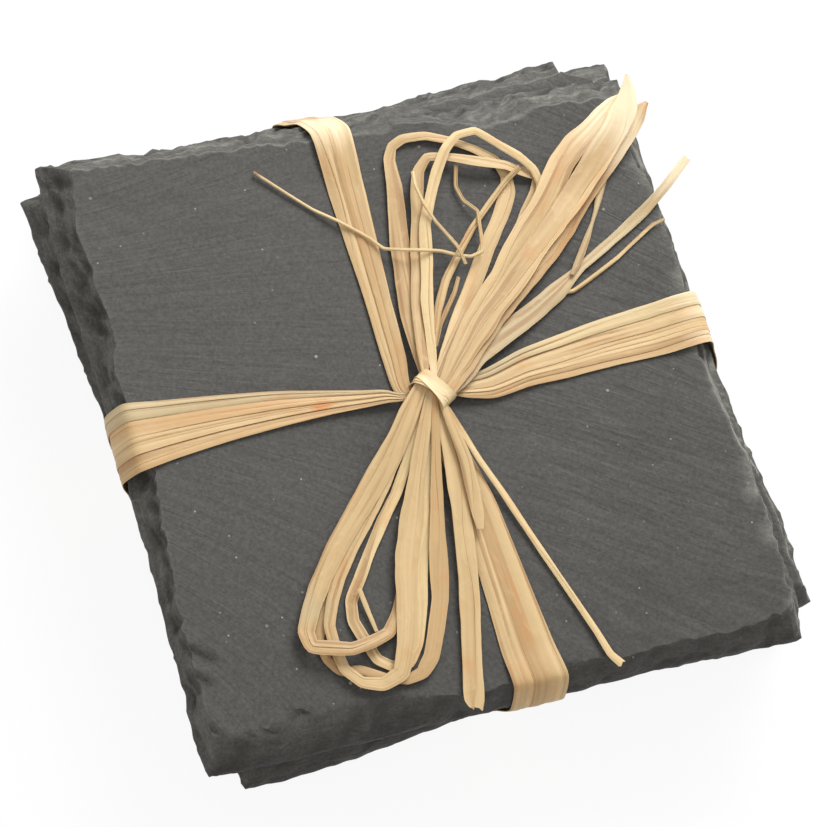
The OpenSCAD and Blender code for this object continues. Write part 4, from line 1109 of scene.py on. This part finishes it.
# Free strips. Each has the node it stands for, its pleats, its finish, the side
# of the knot it leaves and the cells it leaves and comes back to (none for a
# fibre), and its route: x, y, height over the top slate and width, in mm.
BOW = {
    "loop_upper_outer": (1, "straw", 1, ((0, 0), (2, 0)), (
        (-3.5, 3.5, 1.8, 1.6), (-2, 10, 1, 3), (0, 22, 0.6, 3), (1, 27, 0.6, 2.8),
        (2, 32, 0.6, 2.4), (2.5, 36.5, 0.6, 2), (3.5, 38.5, 0.7, 1.6), (5.5, 39.5, 0.8, 1.5),
        (9.5, 39.5, 0.8, 1.4), (13.5, 38, 0.7, 1.4), (17, 36, 0.6, 1.4), (20, 33.5, 0.5, 1.6),
        (21, 30.5, 0.4, 2), (20.5, 28, 0.4, 2.5), (18, 24, 0.4, 2.7), (14.5, 19.5, 0.4, 2.6),
        (10.5, 14, 0.4, 2.5), (7, 9.5, 0.5, 2.4), (2.5, 4, 1.2, 0.9))),
    "loop_upper_middle": (1, "straw", 1, ((0, 1), (3, 0)), (
        (-2.5, 4, 2.4, 1.2), (-0.5, 10, 1.7, 2.4), (1.5, 17, 1.3, 2.5), (3.5, 23.5, 1.2, 2.4),
        (5, 29.5, 1.2, 2), (6.5, 33.5, 1.2, 1.8), (8.5, 35.5, 1.4, 1.5), (11.5, 35, 1.6, 1.5),
        (16, 33.5, 1.7, 1.8), (21, 32, 1.5, 1.7), (24, 30.5, 1, 1.7), (26, 29.5, 0.6, 1.5),
        (25, 27, 0.35, 1.7), (22.5, 24, 0.35, 1.7), (18.5, 18.5, 0.4, 1.7), (14, 14, 0.4, 1.8),
        (10, 9.5, 0.55, 1.8), (4, 4, 1.3, 0.9))),
    "loop_upper_inner": (1, "pale", 1, ((2, 1), (4, 0)), (
        (-1.5, 4, 3, 1.2), (1, 11.5, 2.4, 1.8), (3, 18, 2.1, 1.9), (4.5, 24, 2.1, 1.9),
        (6.5, 28, 2.1, 1.8), (9, 32.5, 2.3, 1.7), (11.5, 36, 2.5, 1.5), (14, 38, 2.3, 1.3),
        (17.5, 38.5, 1.9, 1.3), (21, 35.5, 1.7, 1.4), (23.5, 33, 1.9, 1.4), (25.5, 30.5, 1.5, 1.3),
        (26, 28, 1.05, 1.3), (25, 25.5, 1, 1.3), (22.5, 22, 1, 1.4), (18, 17, 1.05, 1.4),
        (13.5, 12, 1.1, 1.4), (9, 7.5, 1.35, 1.4), (4, 3, 2.05, 0.9))),
    "strand_cross": (1, "straw", 1, ((1, 0),), (
        (0, 5, 2, 0.9), (2.5, 9.5, 1.2, 1.2), (5.5, 14.5, 0.9, 1.3), (12.5, 22.5, 0.9, 0.9),
        (20.5, 29.5, 1.1, 0.9), (23, 31, 2.4, 0.8))),
    "tail_left": (2, "straw", 1, ((3, 1),), (
        (0, 0.5, 2.6, 1.9), (7, 6.3, 2.3, 3), (13.9, 13.1, 2, 3.3), (17.6, 17.1, 1.9, 3.6),
        (22.2, 21.6, 1.8, 3.7), (26.5, 26.1, 1.8, 3.8), (30.4, 30.7, 1.7, 4.4),
        (33.7, 33.6, 1.6, 4.2), (36.8, 35.7, 1.6, 3.5), (40, 38.2, 1.6, 2.6),
        (42.3, 39.9, 1.7, 1.6), (44.2, 40.9, 1.8, 0.5))),
    "tail_middle": (1, "straw", 1, ((4, 1),), (
        (1.3, 0.6, 3, 1.7), (10.5, 7.2, 2.6, 3.4), (15.6, 11.6, 2.5, 3.6),
        (20.8, 16.3, 2.4, 3.7), (26, 20.7, 2.3, 3.7), (30.2, 24.4, 2.2, 3.9),
        (35, 28.9, 2.2, 4.2), (38.3, 32.2, 2.3, 4.4), (41.4, 35.2, 2.7, 4.5),
        (43.8, 38.2, 3.2, 4.1), (45.1, 41.3, 3.5, 2.2), (45.6, 43.6, 3.7, 0.5))),
    "tail_right": (1, "tan", 1, ((5, 1),), (
        (2.1, -1.2, 2.2, 1.6), (11, 6.6, 1.6, 3.3), (17.7, 11.6, 1.4, 3.3), (23.4, 16, 1.3, 3.3),
        (28.2, 20.3, 1.2, 3.3), (32, 24, 1.15, 3.3), (35.8, 27.5, 1.1, 3.3),
        (38.6, 29.9, 1.1, 3.3), (42.7, 33.5, 1.3, 3.3), (45.8, 36.6, 1.7, 2.8),
        (47.2, 38, 2, 1.7), (48.3, 38.8, 2.2, 0.5))),
    "tail_pale": (1, "cream", 1, ((5, 0),), (
        (1.7, -1.9, 1.7, 2.1), (7.2, 1.2, 1.4, 2.9), (13.2, 4.4, 1.1, 3.2),
        (18.7, 7.1, 0.8, 3.2), (23.4, 9.7, 0.6, 3.1), (26.1, 11.4, 0.5, 2.2),
        (28.5, 12.9, 0.5, 1.5), (33.4, 15.6, 0.5, 1.6), (38.1, 18.2, 0.55, 1.7),
        (42.2, 20.6, 0.8, 1.8), (46.5, 23.6, 1.3, 1.5), (52, 28, 2.4, 1.3))),
    "loop_lower_outer": (2, "straw", -1, ((0, 1), (2, 0)), (
        (-8.1, -6.8, 2.7, 1.3), (-12.6, -12.6, 1.9, 3.4), (-16.6, -16.8, 1.6, 3.7),
        (-20.6, -20.9, 1.45, 3.6), (-24.2, -24.6, 1.45, 3.3), (-27.6, -28.7, 1.45, 2.9),
        (-30.6, -33, 1.45, 2.9), (-32.4, -36.4, 1.6, 2.8), (-32.2, -38.7, 1.8, 2.4),
        (-29.5, -39.7, 2.2, 2.2), (-26.5, -40.5, 2.3, 1.9), (-23, -40, 1.9, 1.9),
        (-20, -39, 1.2, 1.9), (-17.5, -36, 0.8, 1.7), (-15, -31.5, 0.5, 1.7),
        (-12, -25.5, 0.4, 1.7), (-9.5, -19.5, 0.5, 1.7), (-7.5, -13.5, 1, 1.4),
        (-5.5, -9.5, 1.7, 0.9))),
    "loop_lower_second": (2, "straw", -1, ((1, 1), (2, 1)), (
        (-8, -8.5, 2.1, 1.1), (-11.5, -12.5, 1.5, 2.7), (-15, -16.5, 1.15, 3.2),
        (-18.5, -20.5, 0.95, 3.2), (-22, -25, 0.95, 2.6), (-25, -29, 1, 2), (-27, -32.5, 1, 1.9),
        (-28.5, -36, 1, 1.8), (-28.5, -40, 1, 1.8), (-28, -43, 1, 1.8), (-26, -45.5, 1.1, 1.8),
        (-23, -46.5, 1.2, 2), (-20, -45.5, 1.5, 2.4), (-18, -41.5, 1.6, 2.8),
        (-16, -35.5, 1.4, 3.2), (-14, -28.5, 1.3, 3.4), (-11.5, -22.5, 1.4, 3.4),
        (-9, -16.5, 1.9, 2.6), (-6, -11, 2.7, 1.3))),
    "loop_lower_third": (1, "pale", -1, ((1, 0), (3, 0)), (
        (-7, -9.5, 1.7, 1), (-9.5, -13.5, 1.1, 1.4), (-12.5, -18, 0.8, 1.7),
        (-15.5, -21.5, 0.6, 1.8), (-19, -26, 0.5, 1.8), (-21.5, -29.5, 0.4, 1.8),
        (-24, -33, 0.4, 1.8), (-24.5, -36, 0.4, 1.8), (-23.5, -39.5, 0.4, 1.8),
        (-22.5, -42.5, 0.4, 1.7), (-20.5, -44, 0.4, 1.7), (-18, -44, 0.4, 1.8),
        (-16, -41.5, 0.4, 1.9), (-13.5, -35.5, 0.4, 2), (-11.5, -29, 0.5, 2.1),
        (-9, -22, 0.9, 2), (-6.5, -15.5, 1.4, 1.5), (-4.5, -10.5, 2, 0.9))),
    "loop_lower_under": (1, "tan", -1, ((0, 0), (3, 1)), (
        (-10, -11.5, 0.8, 1.1), (-14, -16.5, 0.5, 1.3), (-19, -21.5, 0.4, 1.4),
        (-23.5, -26.5, 0.4, 1.4), (-26.5, -30.5, 0.4, 1.4), (-29, -34.5, 0.4, 1.4),
        (-30.5, -38, 0.4, 1.5), (-30, -41, 0.4, 1.5), (-28.5, -43, 0.4, 1.4),
        (-25.5, -43.5, 0.4, 1.4), (-22, -45.5, 0.4, 1.4), (-19, -46.5, 0.5, 1.6),
        (-16.5, -46, 0.7, 2), (-14.5, -44, 0.8, 2.3), (-12.5, -40, 0.9, 2.6),
        (-10.5, -35.5, 0.9, 2.7), (-9, -29.5, 1, 2.7), (-7.5, -23.5, 1.35, 2.2),
        (-6, -17.5, 1.9, 1.7), (-4.5, -11.5, 2.75, 1.1))),
    "tail_lower_flat": (1, "straw", -1, ((4, 0),), (
        (-2.1, -9.7, 1.9, 1.8), (-2.6, -15, 1.5, 2.7), (-3.1, -21.1, 1.3, 3),
        (-4.1, -27.4, 1.2, 3.4), (-5.3, -33.5, 1.1, 3.2), (-7, -40.4, 1, 3.2),
        (-8.7, -46.9, 1, 3.1), (-10, -52.2, 1, 3), (-10.2, -53.5, 1, 2.2))),
    "tail_lower_short": (1, "straw", -1, ((4, 1),), (
        (-0.9, -11.4, 2.6, 1.2), (-0.6, -14.8, 2.3, 1.9), (-0.8, -20.2, 2, 2.1),
        (-1.1, -24.2, 1.8, 1.9), (-1.4, -26.7, 1.7, 1))),
    "tail_lower_round": (1, "pale", -1, ((5, 0),), (
        (0, -10.5, 2, 1), (2, -15.5, 1.3, 1), (4, -20.5, 0.85, 1), (7.5, -31, 0.6, 1),
        (12.5, -46, 0.6, 1), (13.5, -49.5, 0.6, 1.1), (15, -51.5, 0.4, 1.3))),
    "fibre_long_right": (0, "pale", 1, (), (
        (24.1, 9.4, 0.45, 0.7), (26, 9.3, 0.4, 0.6), (28.9, 10.5, 0.4, 0.6),
        (32.3, 12.1, 0.4, 0.55), (35.2, 13.5, 0.4, 0.55), (37.7, 15, 0.4, 0.5),
        (40.6, 16.7, 0.45, 0.5), (42.9, 18, 0.6, 0.5), (45.3, 18.6, 0.8, 0.4))),
    "fibre_branch": (0, "cream", 1, (), (
        (26.4, 11.7, 1.1, 0.6), (27.6, 13.1, 1, 0.9), (29.2, 15.1, 0.9, 1),
        (31.1, 17.7, 0.8, 0.9), (32.8, 20.1, 0.7, 0.5), (34, 21.9, 0.6, 0.6),
        (35.5, 24.4, 0.5, 1), (37.5, 27.3, 0.4, 0.7))),
    "fibre_long_left": (1, "pale", 1, (), (
        (13, 33.5, 1, 0.5), (12, 30, 0.7, 0.5), (12.5, 27.5, 0.8, 0.5), (14, 25, 1.5, 0.5),
        (13.5, 22.5, 1.8, 0.5), (12.5, 18, 1.8, 0.5), (10.5, 17.5, 1.8, 0.5), (8.5, 18, 1.9, 0.5),
        (5.5, 19, 2.5, 0.5), (2.5, 19.5, 2.9, 0.5), (-1, 20.5, 2.2, 0.5), (-3, 21.5, 1.2, 0.5),
        (-4.5, 23.5, 0.9, 0.5), (-9, 27.5, 0.85, 0.5), (-12, 30, 0.4, 0.5), (-20, 38, 0.5, 0.4))),
    "fibre_curl": (1, "pale", 1, (), (
        (5, 33, 2.4, 0.5), (4.5, 30.5, 2.9, 0.5), (5, 27, 3, 0.5), (6, 24, 2.9, 0.5),
        (7.5, 21.5, 2.4, 0.5), (8.5, 19, 2.7, 0.5), (9, 16, 2.4, 0.4))),
    "fibre_short": (1, "straw", 1, (), (
        (0.5, 4, 1.3, 0.6), (2.5, 7.5, 0.7, 0.7), (6.5, 12.5, 0.5, 0.7), (8, 15, 0.4, 0.5))),
    "fibre_lower": (0, "pale", 1, (), (
        (-22.5, -31.5, 1.1, 0.7), (-22, -35, 0.6, 0.7), (-21.5, -38.5, 0.5, 0.5))),
}
# The short pieces that lie on a longer free strip
ON_STRIP = {
    "tail_pale": ("fibre_long_right", "fibre_branch"),
    "loop_upper_inner": ("fibre_curl",),
    "strand_cross": ("fibre_short",),
    "tail_lower_flat": ("tail_lower_short",),
    "loop_lower_third": ("fibre_lower",),
}


def root(side, cell):
    """Where a strip leaves the knot, inside its wrap."""
    col, row = cell
    e, z = (col - 2.5) * ROOT_PITCH[0], CORE_Z + (row + 0.5) * ROOT_PITCH[1]
    return (*knot_point(side * ROOT_OUT, e, z), ROOT_W, ROOT_THICK)


def rooted(stations, start):
    """The stations with their first end led into the knot."""
    first, second = stations[:2]
    near = (*mix(np.array(start[:3]), np.array(second[:3]), OUT),
            max(first[3], OPENS * second[3]), first[4])
    return [start, near, *stations[1:]]


def free_strip(name, finishes, seed):
    pleats, finish, side, cells, route = BOW[name]
    stations = [(x, y, LAY_Z + h, w, thickness(w)) for x, y, h, w in route]
    if cells:
        stations = rooted(stations, root(side, cells[0]))
    if len(cells) == 2:
        stations = rooted(stations[::-1], root(side, cells[1]))[::-1]
    narrow = max(s[3] for s in stations) < NARROW
    return lay_strip("raffia_" + name, [name], stations, seed, pleats, finishes[finish],
                     spacing=0.4, roll=3 if narrow else 9, ease=0.36,
                     ragged=0 if len(cells) == 2 else min(0.9, 0.45 * stations[-1][3]))


def declare(centre):
    """Works out the strip's length along its centre line, and does nothing more with it."""
    path = centre * MM
    long = float(np.linalg.norm(np.diff(path, axis=0), axis=1).sum())


def shared(name, maker, *details):
    """A finish by its name: made once, and the same one from then on."""
    return bpy.data.materials.get(name) or maker(*details)


def raffia_finishes():
    """The raffia's finishes: each its skin, then its stains, its pale patches and its pools of
    painted light.
    """
    s = bpy.context.scene.raffia
    stain = (-20, -3, 24.6, 2.4, s.stain, 0.85)
    # Pools of painted light on the ties' ends at the lit right and back edges
    right_end, back_end = (50, 1, 22, 9, s.painted_light, 0.75), (-6, 47, 24, 8, s.painted_light, 0.75)
    # In each finish below, the palest spots are pools of painted light: on the tails' tips and the
    # knot's top
    looks = {
        "straw": (s.straw, stain, (-6.4, -24.1, 25.3, 1.6, s.stain, 0.5),
                  (-30.2, -33.2, 25.5, 3.4, s.cream, 0.7), (45, 39, 26.5, 13, s.painted_light, 0.85),
                  back_end),
        "pale": (s.pale, (-2.3, -3.3, 27.5, 5, s.painted_light, 0.4),
                 (-20, 38, 24.5, 1.6, s.crease, 0.8), right_end, back_end),
        "tan": (s.tan, (47.8, 37.6, 26, 1.8, s.stain, 0.5), (43, 34, 25.5, 9, s.painted_light, 0.6),
                right_end, back_end),
        "cream": (s.cream, (52, 28, 26.4, 9, s.painted_light, 0.8), (22, -1, 24.4, 8, s.pale, 0.7),
                  (31, -1, 24.4, 9, s.pale, 0.7), (40, 0, 24.4, 9, s.pale, 0.7),
                  (49, 1, 22, 9, s.painted_light, 0.75)),
        "tie": (s.straw, stain, (-34, 0, 24, 22, s.stain, 0.28), (-2, -2, 24.6, 2, s.stain, 0.3),
                right_end),
    }
    return {name: shared("raffia_" + name, raffia_finish, "raffia_" + name, skin, spots)
            for name, (skin, *spots) in looks.items()}


# ----------------------------------------------------------------- operators
# The photograph's camera, solved from the top slate's corners: its axes, and its place (mm)
CAMERA_RIGHT = (0.926546, -0.275476, 0.256176)
CAMERA_UP = (0.175349, 0.918752, 0.353762)
CAMERA_AT = (-156.125, -133.552, 430.478)
# The lamps: place and width (m), and watts at full strength
LAMPS = (("key", (0.38, 0.6, 0.56), 0.55, 9.5), ("fill", (-0.5, -0.2, 0.95), 0.9, 3.0))
WHITE = (1, 1, 1, 1)


class COASTER_OT_stage(bpy.types.Operator):
    """Camera, pale floor and soft studio light"""

    bl_idname = "coaster.stage"
    bl_label = "Stage"

    def execute(self, context):
        s = context.scene.stage
        camera = bpy.data.cameras.new("camera")
        camera.lens, camera.sensor_width = s.lens, 36
        camera.clip_start, camera.clip_end = 0.01, 20
        eye = bpy.data.objects.new("camera", camera)
        right, up = Vector(CAMERA_RIGHT), Vector(CAMERA_UP)
        turn = Matrix((right, up, right.cross(up))).transposed().to_4x4()
        eye.matrix_world = Matrix.Translation(Vector(CAMERA_AT) * MM) @ turn
        context.scene.collection.objects.link(eye)
        context.scene.camera = eye
        alone()
        bpy.ops.mesh.primitive_plane_add(size=6)
        floor = context.object
        floor.name = floor.data.name = "floor"
        f = Finish("pale_floor", **{"Roughness": 0.9, "Specular IOR Level": 0.1})
        f.wear(Base_Color=(*s.floor, 1))
        white = f.add("Emission", {"Color": WHITE, "Strength": 1.0}).outputs[0]
        both = f.add("MixShader", {0: f.times(f.shown(), s.glow), 1: f.shader.outputs[0],
                                   2: white}).outputs[0]
        f.fit(f.output.inputs["Surface"], both)
        floor.data.materials.append(f.material)
        self.light(context, s)
        context.scene.view_settings.view_transform = "Standard"
        return {"FINISHED"}

    def light(self, context, s):
        world = bpy.data.worlds.new("studio")
        world.use_nodes = True
        context.scene.world = world
        sky = Nodes(world.node_tree)
        soft, white = (sky.add("Background", {"Color": WHITE, "Strength": k}).outputs[0]
                       for k in (s.surround, 1))
        both = sky.add("MixShader", {0: sky.shown(), 1: soft, 2: white}).outputs[0]
        sky.add("OutputWorld", {"Surface": both})
        for name, place_at, size, watts in LAMPS:
            lamp = bpy.data.lights.new(name, "AREA")
            lamp.shape, lamp.size, lamp.energy = "DISK", size, watts * s.key
            o = bpy.data.objects.new(name, lamp)
            o.location = place_at
            o.rotation_euler = (-Vector(place_at)).to_track_quat("-Z", "Y").to_euler()
            context.scene.collection.objects.link(o)


class COASTER_OT_bow(bpy.types.Operator):
    """The bow's loops, tails and loose fibres"""

    bl_idname = "coaster.bow"
    bl_label = "Bow and tails"

    def execute(self, context):
        finishes = raffia_finishes()
        made = {name: free_strip(name, finishes, 5 + 3 * k) for k, name in enumerate(BOW)}
        riders = {other for others in ON_STRIP.values() for other in others}
        for name, (piece, centre) in made.items():
            if name not in riders:
                declare(centre)
        return {"FINISHED"}


class COASTER_OT_ties(bpy.types.Operator):
    """The two flat ties round the stack"""

    bl_idname = "coaster.ties"
    bl_label = "Ties"

    def execute(self, context):
        finishes = raffia_finishes()
        stack = [Slate(name) for name in SLATES]
        looks = {0: ("tan", "straw", "tie", "cream"), 1: ("straw", "tan", "straw")}
        for axis, word, held in ((0, "across", (0, -1, 0)), (1, "along", (1, 0, 0))):
            for k in range(STRANDS[axis]):
                node = f"band_{word}_{k + 1}"
                lay_strip("raffia_" + node, [node], tie_ring(stack, axis, k), 61 + 7 * k + axis,
                          2 if k % 2 else 1, finishes[looks[axis][k]], spacing=0.6, closed=True,
                          held=held, lap=0.17, spread=1.14, ease=0.7)
        return {"FINISHED"}


class COASTER_OT_knot(bpy.types.Operator):
    """The strip wrapped twice round the bow, and the squeezed bundle inside it"""

    bl_idname = "coaster.knot"
    bl_label = "Knot"

    def execute(self, context):
        finishes = raffia_finishes()
        stations = []
        for i in range(WRAP_STEPS + 1):
            k = i / WRAP_STEPS
            a = math.tau * (WRAP_TURNS * k - 0.3)
            e = WRAP_HALF * squared(math.cos(a))
            z = WRAP_HALF_HIGH * squared(math.sin(a))
            d = np.interp(k, *zip(*WRAP_DRIFT))
            w = np.interp(k, *zip(*WRAP_WIDTH))
            grow = 1 + 0.05 * k
            stations.append((*knot_point(d, e * grow, WRAP_MID + z * grow), w, WRAP_THICK))
        lay_strip("raffia_knot_wrap", ["knot_wrap"], stations, 91, 1, finishes["pale"],
                  spacing=0.3, held=tuple(-ALONG_D))
        alone()
        bpy.ops.mesh.primitive_cylinder_add(vertices=48, radius=1, depth=1, end_fill_type="TRIFAN")
        core = context.object
        core.name = core.data.name = "raffia_knot_core"
        with editing("SELECT"):
            bpy.ops.mesh.subdivide(number_cuts=3)
        long, wide, high = CORE
        shaped = []
        for x, y, z in coords(core):
            a = math.atan2(y, x)
            # Seven folds run along the bundle
            r = math.hypot(x, y) * (0.93 + 0.07 * abs(math.cos(7 * a + z)))
            shaped.append(knot_point(z * long, math.cos(a) * r * wide,
                                     CORE_Z + high + math.sin(a) * r * high))
        place(core, np.array(shaped) * MM)
        with editing("SELECT"):
            bpy.ops.mesh.normals_make_consistent(inside=False)
        smooth(core, 50)
        core.data.uv_layers[0].name = "fibres"
        settle(core, ["knot_core"], finishes["tan"])
        return {"FINISHED"}


class COASTER_OT_slates(bpy.types.Operator):
    """The four split slates with their dressed edges"""

    bl_idname = "coaster.slates"
    bl_label = "Slates"

    def execute(self, context):
        stone = shared("split_slate", slate_finish)
        for name in SLATES:
            grid = context.scene.slate.grid
            make_slate(name, grid if name == "slate_top" else grid * 4 // 5, stone)
        return {"FINISHED"}


class COASTER_OT_felt_pads(bpy.types.Operator):
    """The felt pads under every slate"""

    bl_idname = "coaster.felt_pads"
    bl_label = "Felt pads"

    def execute(self, context):
        s = context.scene.felt
        felt = shared("pressed_felt", felt_finish)
        alone()
        bpy.ops.mesh.primitive_cylinder_add(vertices=40, radius=s.diameter / 2,
                                            depth=s.thickness)
        first = context.object
        apply_modifier(first, "BEVEL", width=s.rounding, segments=3, limit_method="ANGLE",
                       angle_limit=math.radians(60))
        with editing():
            bpy.ops.mesh.select_mode(type="FACE")
        # Rings in the two flat faces
        for face in first.data.polygons:
            face.select = abs(face.normal.z) > 0.99 and len(face.vertices) > 8
        with editing():
            for step in (0.25, 0.25, 0.22):
                bpy.ops.mesh.inset(thickness=s.diameter / 2 * step, depth=0)
        co = coords(first)
        for k, p in enumerate(co):
            co[k, :2] = p[:2] * (1 + 0.012 * noise.noise(Vector(p) * 2600))
        place(first, co)
        for name in SLATES:
            plan = Slate(name)
            reach = plan.side / 2 - s.inset / MM
            for i, sign in enumerate(SIGNS):
                spot = plan.shift + turned(np.array(sign) * reach, plan.turn)
                node = f"pad_{name.split('_')[1]}_{i + 1}"
                piece = bpy.data.objects.new("felt_" + node, first.data.copy())
                context.scene.collection.objects.link(piece)
                place(piece, coords(first) + np.array([*spot, plan.base - plan.pad / 2]) * MM)
                smooth(piece, 40)
                settle(piece, [node], felt)
        bpy.data.objects.remove(first)
        return {"FINISHED"}


class COASTER_PT_panel(bpy.types.Panel):
    """Sizes, colours and steps of the coaster stack"""

    bl_idname = "COASTER_PT_panel"
    bl_label = "Slate coasters"
    bl_space_type = "VIEW_3D"
    bl_region_type = "UI"
    bl_category = "Coasters"

    def draw(self, context):
        for name, group in GROUPS:
            box = self.layout.box()
            box.label(text=name.title())
            settings = getattr(context.scene, name)
            for field in group.__annotations__:
                box.prop(settings, field)
        for step in STEPS:
            self.layout.operator(step.bl_idname)


GROUPS = (("slate", SlateSettings), ("felt", FeltSettings), ("raffia", RaffiaSettings),
          ("stage", StageSettings))
STEPS = (COASTER_OT_stage, COASTER_OT_bow, COASTER_OT_ties, COASTER_OT_knot,
         COASTER_OT_slates, COASTER_OT_felt_pads)


def register():
    for name, group in GROUPS:
        bpy.utils.register_class(group)
        setattr(bpy.types.Scene, name, PointerProperty(type=group))
    for step in STEPS:
        bpy.utils.register_class(step)
    bpy.utils.register_class(COASTER_PT_panel)


def unregister():
    bpy.utils.unregister_class(COASTER_PT_panel)
    for step in reversed(STEPS):
        bpy.utils.unregister_class(step)
    for name, group in reversed(GROUPS):
        delattr(bpy.types.Scene, name)
        bpy.utils.unregister_class(group)


def main():
    register()
    bpy.ops.coaster.stage()
    bpy.ops.coaster.bow()
    bpy.ops.coaster.ties()
    bpy.ops.coaster.knot()
    bpy.ops.coaster.slates()
    bpy.ops.coaster.felt_pads()


if __name__ == "__main__":
    main()
